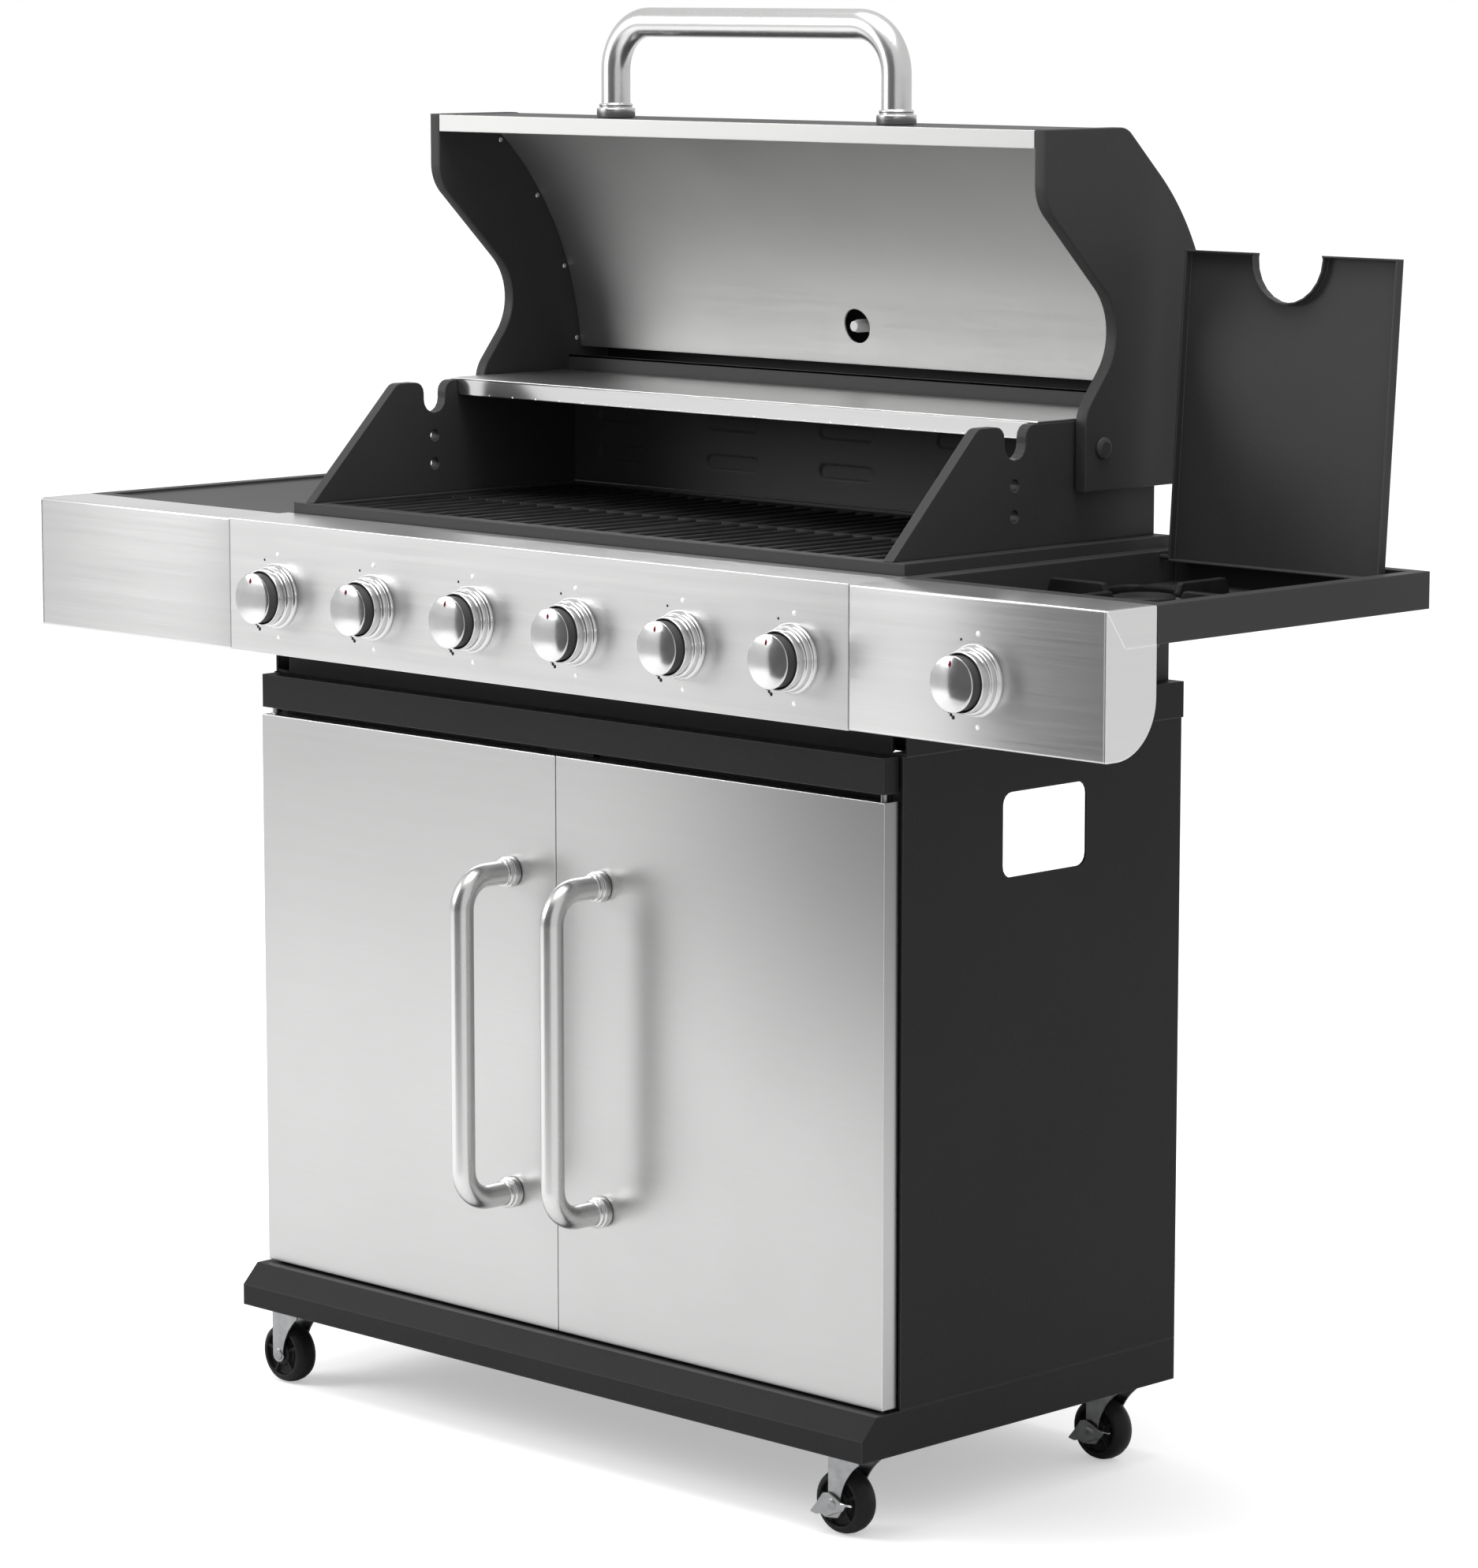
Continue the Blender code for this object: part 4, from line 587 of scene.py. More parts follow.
def makeKnob(number):
    # cap: a dome y = face + r^2 / 2R down to a thin rim; behind it a plain skirt and the shaft
    node = f"knob_{number}"
    low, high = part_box(node)
    centre = np.array([(low.x + high.x) / 2.0, 0.0, (low.z + high.z) / 2.0])
    radius = (high.x - low.x) / 2.0
    curve = (radius**2 + knobLook["dome"]**2) / (2.0 * knobLook["dome"])
    rimFront = low.y + knobLook["dome"]
    rimBack = rimFront + knobLook["rim"]
    back = panelFace - knobLook["panelGap"]
    span = np.linspace(0.0005, radius - 0.0011, 14)
    cap = list(zip(span, low.y + span**2 / (2.0 * curve)))
    cap += [(radius - 0.0004, rimFront - 0.00005), (radius, rimFront + 0.0004), (radius, rimBack - 0.0003),
            (radius - 0.0004, rimBack), (radius - 0.0040, rimBack)]
    skirt = radius - knobLook["skirtInset"]
    body = [(skirt - 0.0040, rimBack - 0.0002), (skirt - 0.0001, rimBack - 0.0001),
            (skirt, rimBack + 0.0004), (skirt, back - 0.0008), (skirt - 0.0008, back),
            (knobLook["shaft"], back + 0.00005)]
    shaft = [(knobLook["shaft"], back - 0.0005), (knobLook["shaft"], high.y - 0.0006),
             (knobLook["shaft"] - 0.0006, high.y)]
    sides = knobLook["sides"]
    shells = [solid(turnedRings(cap, centre, "Y", sides), 0),
              solid(turnedRings(body, centre, "Y", sides), 1),
              solid(turnedRings(shaft, centre, "Y", 16), 2)]
    makePiece(f"knobCap_{number}", shells, [chrome, knobSkirt, zincPlate], node, [node])
    # pointer: a teardrop laid on the dome, width(t) = wide * sin(pi t) * (1 - taper t)
    share = np.linspace(0.02, 0.98, 16)
    wide = knobLook["pointerWide"] * np.sin(math.pi * share) * (1.0 - knobLook["pointerTaper"] * share)
    tall = knobLook["pointerAt"] + knobLook["pointerLong"] * (share - 0.5)
    outline = np.vstack([np.stack([wide / 2.0, tall], axis=1), np.stack([-wide / 2.0, tall], axis=1)[::-1]])
    rings = plateRings(outline, low.y - 0.0002, low.y + 0.0004, "Y", 0.0001, 2)
    rings[..., 1] += (rings[..., 0]**2 + rings[..., 2]**2) / (2.0 * curve)
    makePiece(f"knobPointer_{number}", [solid(rings + centre)], [pointerRed], node)


def makeBezel(number):
    # a stepped ring: three shoulders, each a short cone with a rounded lip
    low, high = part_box(f"knob_{number}")
    mouth, base, reach = bezelLook["mouth"], bezelLook["base"], bezelLook["reach"]
    profile = [(mouth, 0.0003), (mouth, reach - 0.0008), (mouth + 0.0003, reach - 0.0002),
               (mouth + 0.0009, reach), (mouth + 0.0015, reach - 0.0004), (mouth + 0.0017, reach - 0.0012),
               (mouth + 0.0018, 0.0118), (mouth + 0.0016, 0.0112), (mouth + 0.0018, 0.0106),
               (mouth + 0.0028, 0.0102), (mouth + 0.0036, 0.0096), (mouth + 0.0039, 0.0088),
               (mouth + 0.0040, 0.0050), (mouth + 0.0039, 0.0044), (mouth + 0.0044, 0.0038),
               (base - 0.0014, 0.0034), (base - 0.0005, 0.0028), (base, 0.0018), (base, 0.0003)]
    profile = [(radius, panelFace - out) for radius, out in profile]
    centre = ((low.x + high.x) / 2.0, 0.0, (low.z + high.z) / 2.0)
    ring = hoop(turnedRings(profile, centre, "Y", bezelLook["sides"]))
    makePiece(f"knobBezel_{number}", [ring], [chrome], "cart", crease=50.0)


def makeScaleMarks(number):
    # flat dots round the bezel: a pale one over it and one under, and a dark row that shrinks round its
    # lower left; each dot's centre = knob's centre + distance * (sin turn, cos turn)
    low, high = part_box(f"knob_{number}")
    centre = np.array([(low.x + high.x) / 2.0, 0.0, (low.z + high.z) / 2.0])
    shells = []
    marks = [(*mark, 1) for mark in marksLook["pale"]] + [(*mark, 0) for mark in marksLook["dark"]]
    marks += [(marksLook["scaleFrom"] + marksLook["scaleStep"] * step, marksLook["scaleOut"],
               marksLook["scaleDot"] - marksLook["scaleShrink"] * step, 0)
              for step in range(marksLook["scaleCount"])]
    for turn, away, size, finishIndex in marks:
        spot = centre + away * np.array([math.sin(math.radians(turn)), 0.0, math.cos(math.radians(turn))])
        profile = [(size, panelFace - 0.00002), (size, panelFace - 0.0001),
                   (size - 0.0002, panelFace - 0.00016)]
        shells.append(solid(turnedRings(profile, spot, "Y", 14), finishIndex))
    makePiece(f"scaleMarks_{number}", shells, [markDark, markWhite], "cart")


for number in range(1, 8):
    makeKnob(number)
    makeBezel(number)
    makeScaleMarks(number)
print("knobs, bezels and scale marks made")


# tube handles

doorHandleLook = {"tube": 0.0110, "collar": 0.0145, "collarTall": 0.0125, "bend": 0.030, "steps": 18}
hoodHandleLook = {"tube": 0.0138, "collar": 0.0190, "collarTall": 0.0135, "bend": 0.046, "steps": 24}


def handlePath(corners, bend, steps):
    # an open line through four corners, the two outer ones bent to arcs, the straight runs cut into steps
    line = softOutline(corners, [0.0, bend, bend, 0.0], steps)
    straight = np.linspace(0.0, 1.0, 12)[1:-1, None]
    legEnd = line[0] + (line[1] - line[0]) * straight
    middle = line[steps + 1] + (line[steps + 2] - line[steps + 1]) * straight
    farLeg = line[-2] + (line[-1] - line[-2]) * straight
    return np.vstack([line[:1], legEnd, line[1:steps + 2], middle, line[steps + 2:-1], farLeg, line[-1:]])


def collarProfile(tube, collar, tall):
    # foot flange, a neck, and a small bead where the tube goes in
    return np.array([(tube - 0.0008, 0.0002), (collar - 0.0005, 0.0002), (collar, 0.0008),
                     (collar, tall * 0.62), (collar - 0.0005, tall * 0.66), (tube + 0.0018, tall * 0.68),
                     (tube + 0.0016, tall * 0.74), (tube + 0.0022, tall * 0.80),
                     (tube + 0.0022, tall * 0.92), (tube + 0.0014, tall * 0.98), (tube - 0.0006, tall)])


for node in ("door_handle_left", "door_handle_right"):
    low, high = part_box(node)
    x = (low.x + high.x) / 2.0
    tube, collar = doorHandleLook["tube"], doorHandleLook["collar"]
    foot, out = high.y, low.y + tube
    ends = (low.z + collar, high.z - collar)
    path = handlePath([(foot, ends[0]), (out, ends[0]), (out, ends[1]), (foot, ends[1])],
                      doorHandleLook["bend"], doorHandleLook["steps"])
    path = np.column_stack([np.full(len(path), x), path])
    shells = [solid(tubeRings(path, tube, (1.0, 0.0, 0.0)))]
    profile = collarProfile(tube, collar, doorHandleLook["collarTall"]) * (1.0, -1.0) + (0.0, foot)
    shells += [solid(turnedRings(profile, (x, 0.0, z), "Y", 40)) for z in ends]
    makePiece(node.replace("_h", "H").replace("_l", "L").replace("_r", "R"), shells, [satinTube],
              bodyOfNode[node], [node], crease=40.0)

low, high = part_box("hood_handle")
tube, collar = hoodHandleLook["tube"], hoodHandleLook["collar"]
handleY = high.y - collar
foot, out = low.z, high.z - tube
ends = (low.x + collar - 0.0005, high.x - collar + 0.0005)
path = handlePath([(ends[0], foot), (ends[0], out), (ends[1], out), (ends[1], foot)],
                  hoodHandleLook["bend"], hoodHandleLook["steps"])
path = np.column_stack([path[:, 0], np.full(len(path), handleY), path[:, 1]])
shells = [solid(tubeRings(path, tube, (0.0, 1.0, 0.0), 32))]
profile = collarProfile(tube, collar - 0.0006, hoodHandleLook["collarTall"]) + (0.0, foot)
shells += [solid(turnedRings(profile, (x, handleY, 0.0), "Z", 44)) for x in ends]
makePiece("hoodHandle", shells, [satinTube], bodyOfNode["hood_handle"], ["hood_handle"],
          crease=40.0)
print("handles made")


# hood

# corners as (back from the hood's front edge, down from its top)
hoodLook = {"frontCorners": ((0.0, 0.0), (0.0, -0.0654), (0.1165, -0.1775), (0.0572, -0.2518),
                             (0.0572, -0.3230)),
            "frontBends": (0.0, 0.040, 0.0547, 0.034, 0.0),
            "crown": (0.1100, 0.0), "crownBend": 0.022,
            "backSweep": ((0.1540, -0.0410), (0.2050, -0.1080), (0.2295, -0.2280)),
            "tail": (0.2300, -0.3230),
            "reflector": ((0.0830, -0.0200), (0.1580, -0.1160), (0.1910, -0.2350)),
            "lipTall": 0.0160, "sheet": 0.0016, "sheetEdge": 0.0003, "capEdge": 0.0011,
            "stations": 15, "stationReach": 0.026, "linerCrease": 24.0}
capLow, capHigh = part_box("hood_side_right")
hoodFront, hoodTop = capLow.y, capHigh.z
hoodCorner = np.array([hoodFront, hoodTop])


def hoodBack(steps):
    # the bend at the crown, an arc through three points down the back, and the tail below it
    crown = softOutline([(0.0, 0.0), hoodLook["crown"], hoodLook["backSweep"][0]],
                        [0.0, hoodLook["crownBend"], 0.0], 8)[1:-1]
    return np.vstack([crown, arcThrough(*hoodLook["backSweep"], steps), [hoodLook["tail"]]]) + hoodCorner


front = softOutline(hoodLook["frontCorners"], hoodLook["frontBends"], 14) + hoodCorner
capOutline = np.vstack([front, hoodBack(40)[::-1]])
for node in ("hood_side_left", "hood_side_right"):
    low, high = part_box(node)
    makePiece("hoodCapLeft" if "left" in node else "hoodCapRight",
              [solid(plateRings(capOutline, low.x, high.x, "X", hoodLook["capEdge"], 4))],
              [heatCoat], "hood", [node], crease=28.0)

low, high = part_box("hood_skin")
line = hoodBack(40)
share = np.linspace(0.0, 1.0, len(line))[:, None]
line = line - np.hstack([share, 1.0 - share]) * 0.0008
strip = np.vstack([[(low.y, high.z - 0.006), (low.y, high.z)], line])
section = sheetOutline(strip, -hoodLook["sheet"])
makePiece("hoodSkin", [solid(plateRings(section, low.x, high.x, "X", hoodLook["sheetEdge"], 2))],
          [heatCoat], "hood", ["hood_skin"], crease=28.0)

low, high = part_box("hood_liner")
sheet = hoodLook["sheet"]
lipLow = high.z - hoodLook["lipTall"]
reflector = arcThrough(*hoodLook["reflector"], 44) + hoodCorner
line = np.vstack([[(low.y + sheet, high.z), (low.y + sheet, lipLow + sheet),
                   (reflector[0, 0] - 0.006, lipLow + sheet)], reflector])
gaugeLow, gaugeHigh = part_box("hood_thermometer")
gaugeX, gaugeZ = (gaugeLow.x + gaugeHigh.x) / 2.0, (gaugeLow.z + gaugeHigh.z) / 2.0
# extra stations across the thermometer's window keep the cut small, so the rest of the sheet stays even
rings = plateRings(sheetOutline(line, -sheet), low.x, high.x, "X", hoodLook["sheetEdge"], 2)
middle = len(rings) // 2
stations = np.repeat(rings[middle - 1:middle], hoodLook["stations"], axis=0)
reach = hoodLook["stationReach"]
stations[..., 0] = gaugeX + np.linspace(-reach, reach, hoodLook["stations"])[:, None]
liner = makePiece("hoodLiner", [solid(np.concatenate([rings[:middle], stations, rings[middle:]]))],
                  [linerSteel], "hood", ["hood_liner"], crease=hoodLook["linerCrease"])
print("hood made")


# hood fittings

gaugeLook = {"window": 0.0165, "ticks": 31, "sweep": 250.0, "needleTurn": 95.0, "needleLong": 0.0165,
             "numbers": (100, 200, 300, 400), "numberFrom": -90.0, "numberStep": 60.0,
             "numberOut": 0.0140, "numberTall": 0.0056}
rivetLook = {"radius": 0.0026, "tall": 0.0011, "along": (0.04, 0.34, 0.66, 0.97)}

# the window is cut through the finished sheet, and the cutter is then taken away
bore = [(gaugeLook["window"], -0.02), (gaugeLook["window"], 0.02)]
drill = makePiece("windowDrill", [solid(turnedRings(bore, (gaugeX, gaugeLow.y, gaugeZ), "Y", 56))],
                  [linerSteel], "hood")
drilling = liner.modifiers.new("window", "BOOLEAN")
drilling.object = drill
drilling.solver = "EXACT"
bpy.context.view_layer.update()
drilled = bpy.data.meshes.new_from_object(liner.evaluated_get(bpy.context.evaluated_depsgraph_get()))
liner.modifiers.clear()
drilled.set_sharp_from_angle(angle=math.radians(hoodLook["linerCrease"]))
liner.data = drilled
bpy.data.objects.remove(drill)

# dial: a turned case on the skin, a recessed face, ticks round it, a needle and the stem into the hood
dialFront = gaugeHigh.y
dialRadius = (gaugeHigh.x - gaugeLow.x) / 2.0
centre = (gaugeX, 0.0, gaugeZ)
case = [(dialRadius - 0.0010, dialFront - 0.0102), (dialRadius, dialFront - 0.0094),
        (dialRadius, dialFront - 0.0030), (dialRadius - 0.0006, dialFront - 0.0012),
        (dialRadius - 0.0022, dialFront), (dialRadius - 0.0040, dialFront),
        (dialRadius - 0.0048, dialFront - 0.0008), (dialRadius - 0.0050, dialFront - 0.0030),
        (dialRadius - 0.0060, dialFront - 0.0032)]
stem = [(0.0070, dialFront - 0.0100), (0.0070, gaugeLow.y + 0.022), (0.0062, gaugeLow.y + 0.020),
        (0.0062, gaugeLow.y + 0.005), (0.0056, gaugeLow.y + 0.003), (0.0050, gaugeLow.y)]
face = [(dialRadius - 0.0052, dialFront - 0.0034), (dialRadius - 0.0053, dialFront - 0.00305),
        (0.0004, dialFront - 0.0029)]
shells = [solid(turnedRings(case, centre, "Y", 64), 0), solid(turnedRings(face, centre, "Y", 64), 1),
          solid(turnedRings(stem, centre, "Y", 32), 1)]


def dialMark(turn, near, far, wide, tall=0.0002, finishIndex=2):
    # a thin bar on the dial, from near to far along the direction turn degrees from the top
    corners = [(-wide / 2.0, near), (wide / 2.0, near), (wide / 2.0, far), (-wide / 2.0, far)]
    rings = plateRings(corners, dialFront - 0.00285, dialFront - 0.00285 + tall, "Y", wide * 0.1, 2)
    c, s = math.cos(math.radians(turn)), math.sin(math.radians(turn))
    x, z = rings[..., 0].copy(), rings[..., 2].copy()
    rings[..., 0], rings[..., 2] = gaugeX + c * x + s * z, gaugeZ - s * x + c * z
    return solid(rings, finishIndex)


for tick in range(gaugeLook["ticks"]):
    turn = -gaugeLook["sweep"] / 2.0 + gaugeLook["sweep"] * tick / (gaugeLook["ticks"] - 1)
    long = tick % 5 == 0
    shells.append(dialMark(turn, 0.0178 if long else 0.0196, 0.0218, 0.0008 if long else 0.0004))
shells.append(dialMark(gaugeLook["needleTurn"], -0.004, gaugeLook["needleLong"], 0.0012, 0.0007, 3))
hub = [(0.0022, dialFront - 0.0028), (0.0022, dialFront - 0.0018), (0.0012, dialFront - 0.0014)]
shells.append(solid(turnedRings(hub, centre, "Y", 20), 0))
makePiece("hoodThermometer", shells, [chrome, markPale, markDark, pointerRed], "hood",
          ["hood_thermometer"], crease=40.0)

# numbers round the dial, read from behind the hood
for step, value in enumerate(gaugeLook["numbers"]):
    turn = math.radians(gaugeLook["numberFrom"] + gaugeLook["numberStep"] * step)
    letters = bpy.data.curves.new(f"dialNumber_{value}", "FONT")
    letters.body = str(value)
    letters.size = gaugeLook["numberTall"]
    letters.align_x, letters.align_y = "CENTER", "CENTER"
    letters.extrude = 0.00008
    numeral = bpy.data.objects.new("dialLetters", letters)
    bpy.context.scene.collection.objects.link(numeral)
    bpy.context.view_layer.update()
    mesh = bpy.data.meshes.new_from_object(numeral.evaluated_get(bpy.context.evaluated_depsgraph_get()))
    bpy.data.objects.remove(numeral)
    away = gaugeLook["numberOut"]
    spot = (gaugeX + away * math.sin(turn), dialFront - 0.00280, gaugeZ + away * math.cos(turn))
    upright = Matrix.Rotation(math.pi, 4, "Z") @ Matrix.Rotation(math.pi / 2.0, 4, "X")
    mesh.transform(Matrix.Translation(spot) @ upright)
    mesh.materials.clear()
    mesh.materials.append(markDark)
    number = bpy.data.objects.new(f"dialNumber_{value}", mesh)
    bpy.context.scene.collection.objects.link(number)
    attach(number, "hood")

# rivets where the reflector meets the end caps: domes r(t) = R cos t, h(t) = H sin t
tilt = np.linspace(0.0, 1.45, 7)
dome = np.stack([rivetLook["radius"] * np.cos(tilt), rivetLook["tall"] * np.sin(tilt)], axis=1)
shells = []
linerLow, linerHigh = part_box("hood_liner")
for side, edge in ((-1.0, linerLow.x), (1.0, linerHigh.x)):
    for along in rivetLook["along"]:
        spot = reflector[int(along * (len(reflector) - 1))]
        # the dome stands on the cap's inner face, just in front of the sheet
        heights = dome * (1.0, -side) + (0.0, edge + side * 0.0004)
        shells.append(solid(turnedRings(heights, (0.0, spot[0] - 0.0052, spot[1] - 0.0030), "X", 20)))
makePiece("linerRivets", shells, [chrome], "hood", crease=60.0)
print("thermometer and rivets made")


# hood pivots

# bolt heads: a flattened dome, r(t) = R cos(t)^0.6, height(t) = H sin t
boltLook = {"radius": 0.0098}
for sideName, side in (("left", -1.0), ("right", 1.0)):
    low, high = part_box(f"firebox_wall_{sideName}")
    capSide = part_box(f"hood_side_{sideName}")
    pivot = next(j for j in frame["joints"] if j["name"] == "hood_hinge")["pos_m"]
    outer = capSide[1].x if side > 0 else capSide[0].x
    reach = high.x if side > 0 else low.x
    tilt = np.linspace(0.0, 1.5, 10)
    crown = np.stack([boltLook["radius"] * np.cos(tilt)**0.6, outer + side * (0.0005 + 0.0011)
                      + (reach - outer - side * 0.0016) * np.sin(tilt)], axis=1)
    foot = [(boltLook["radius"] - 0.0006, outer + side * 0.0004),
            (boltLook["radius"], outer + side * 0.0009)]
    profile = np.vstack([foot, crown])
    makePiece(f"pivotBolt_{sideName}", [solid(turnedRings(profile, (0.0, pivot[1], pivot[2]), "X", 40))],
              [knobSkirt], "cart", crease=50.0)
print("pivot bolts made")


# fascias

fasciaLook = {"corner": 0.050, "smallCorner": 0.0020, "edge": 0.0013, "bodyEdge": 0.0006,
              "capThick": 0.0022, "foldDepth": 0.0003, "foldWide": 0.0007, "foldEdge": 0.0002,
              "kneeIn": 0.0235, "kneeDown": 0.0325, "seamDown": 0.0328}
for node in ("fascia_left", "fascia_right"):
    low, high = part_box(node)
    side = 1.0 if "right" in node else -1.0
    small = fasciaLook["smallCorner"]
    outline = softOutline([(low.y, low.z), (high.y, low.z), (high.y, high.z), (low.y, high.z)],
                          [small, fasciaLook["corner"], small, small], 24)
    outerEnd = high.x - fasciaLook["foldDepth"] if side > 0 else low.x + fasciaLook["foldDepth"]
    seamEnd = low.x if side > 0 else high.x
    # front body up to a hair short of the end, then the separate end cap with its own grain
    joint = outerEnd - side * fasciaLook["capThick"]
    body = plateRings(outline, min(seamEnd, joint), max(seamEnd, joint), "X", fasciaLook["bodyEdge"])
    cap = plateRings(outline, min(joint, outerEnd), max(joint, outerEnd), "X", fasciaLook["edge"], 4)
    # the cap's folds: a mitre falling from the front corner, and a level seam to the back edge
    knee = (low.y + fasciaLook["kneeIn"], high.z - fasciaLook["kneeDown"])
    seamZ = high.z - fasciaLook["seamDown"]
    mitre = np.array([(low.y + 0.0015, high.z - 0.0015), knee])
    seam = np.array([(knee[0] + 0.001, seamZ), (high.y - 0.0005, seamZ)])
    wide = fasciaLook["foldWide"]
    tip = high.x if side > 0 else low.x
    ends = sorted((tip, tip - side * 2.0 * fasciaLook["foldDepth"]))
    shells = [solid(body, 0), solid(cap, 1)]
    for line in (mitre, seam):
        strip = sheetOutline(line + leftNormals(line, False) * (-wide / 2.0), wide)
        shells.append(solid(plateRings(strip, *ends, "X", fasciaLook["foldEdge"], 3), 1))
    makePiece("fasciaRight" if side > 0 else "fasciaLeft", shells, [fasciaLitSteel, endCapLitSteel], "cart",
              [node], crease=30.0)
print("fascias made")


# casters

casterLook = {"sheet": 0.0020, "hub": 0.0115, "rimIn": 0.0215, "bore": 0.0044, "spokes": 5,
              "spokeTurn": 0.4, "bridgeTop": 0.0728, "bridgeFront": 0.0190, "bridgeBack": 0.0170,
              "stem": 0.0058, "axle": 0.0040, "nut": 0.0056}


def makeCaster(corner):
    wheelLow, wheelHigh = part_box(f"caster_wheel_{corner}")
    forkLow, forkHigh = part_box(f"caster_fork_{corner}")
    radius = (wheelHigh.z - wheelLow.z) / 2.0
    hub = np.array([(wheelLow.x + wheelHigh.x) / 2.0, (wheelLow.y + wheelHigh.y) / 2.0,
                    wheelLow.z + radius])
    half = (wheelHigh.y - wheelLow.y) / 2.0
    # wheel: a rounded tread on a rim, a sunk web, and a raised hub, closed through the bore
    bore, rimIn, hubOut = casterLook["bore"], casterLook["rimIn"], casterLook["hub"]
    side = [(radius - 0.0006, half * 0.45), (radius - 0.0022, half * 0.80), (radius - 0.0046, half * 0.97),
            (radius - 0.0062, half), (rimIn + 0.0008, half), (rimIn, half - 0.0006),
            (rimIn - 0.0010, half - 0.0050), (hubOut + 0.0012, half - 0.0056),
            (hubOut, half - 0.0046), (hubOut - 0.0006, half - 0.0004),
            (hubOut - 0.0012, half), (bore + 0.0004, half), (bore, half - 0.0004)]
    profile = [(radius, 0.0)] + side + [(r, -y) for r, y in side[::-1]]
    shells = [hoop(turnedRings(profile, hub, "Y", 56), 0)]
    # spokes: short ribs between hub and rim on both faces
    for face in (-1.0, 1.0):
        for spoke in range(casterLook["spokes"]):
            turn = 2.0 * math.pi * spoke / casterLook["spokes"] + casterLook["spokeTurn"]
            rib = boxRings((hubOut - 0.002, -0.0014, 0.0), (rimIn + 0.001, 0.0014, 0.0040), 0.0005, "Z")
            c, s = math.cos(turn), math.sin(turn)
            placed = np.stack([hub[0] + c * rib[..., 0] - s * rib[..., 1],
                               hub[1] + face * (half - 0.0062 + rib[..., 2]),
                               hub[2] + s * rib[..., 0] + c * rib[..., 1]], axis=-1)
            shells.append(solid(placed, 0))
    makePiece(f"casterWheel_{corner}", shells, [wheelPlastic], f"wheel_{corner}",
              [f"caster_wheel_{corner}"], crease=34.0)

    # fork: two legs cut to a sweeping curve, a bridge over the wheel, the stem, the axle and its nuts
    stemX = forkLow.x + casterLook["bridgeFront"]
    reach = (forkHigh.y - forkLow.y) / 2.0
    legReach = reach - 0.0012
    top = casterLook["bridgeTop"]
    bridgeFront, bridgeBack = stemX - casterLook["bridgeFront"], stemX + casterLook["bridgeBack"]
    sweep = arcThrough((bridgeBack, top - 0.0045), (hub[0] + 0.0105, hub[2] + 0.0165),
                       (hub[0] + 0.0062, hub[2] + 0.0010), 14)
    leg = np.vstack([[(bridgeFront, top)], [(bridgeFront, top - 0.0060)],
                     softOutline([(hub[0] - 0.0078, hub[2] + 0.0080), (hub[0] - 0.0078, hub[2] - 0.0078),
                                  (hub[0] + 0.0078, hub[2] - 0.0078), (hub[0] + 0.0078, hub[2] + 0.002)],
                                 [0.0, 0.0070, 0.0070, 0.0], 8)[:-1],
                     sweep[::-1], [(bridgeBack, top)]])
    shells = []
    for face in (-1.0, 1.0):
        inner, outer = hub[1] + face * (legReach - casterLook["sheet"]), hub[1] + face * legReach
        shells.append(solid(plateRings(leg, min(inner, outer), max(inner, outer), "Y", 0.0004), 0))
    shells.append(solid(boxRings((bridgeFront, hub[1] - legReach, top - 0.0024),
                                 (bridgeBack, hub[1] + legReach, top), 0.0008, "Y"), 0))
    stem = [(casterLook["stem"], 0.0700), (casterLook["stem"], forkHigh.z - 0.008),
            (0.0034, forkHigh.z - 0.007), (0.0034, forkHigh.z)]
    shells.append(solid(turnedRings(stem, (stemX, hub[1], 0.0), "Z", 20), 0))
    axle = [(casterLook["axle"], -legReach - 0.0002), (casterLook["axle"], legReach + 0.0002)]
    shells.append(solid(turnedRings(axle, hub, "Y", 20), 0))
    for face in (-1.0, 1.0):
        nut = [(casterLook["nut"], face * (legReach - 0.0002)), (casterLook["nut"], face * (reach - 0.0004)),
               (casterLook["nut"] - 0.0006, face * reach)]
        shells.append(solid(turnedRings(nut, hub, "Y", 6 if face > 0 else 28), 0))
    makePiece(f"casterFork_{corner}", shells, [zincPlate], f"caster_{corner}",
              [f"caster_fork_{corner}"], crease=34.0)


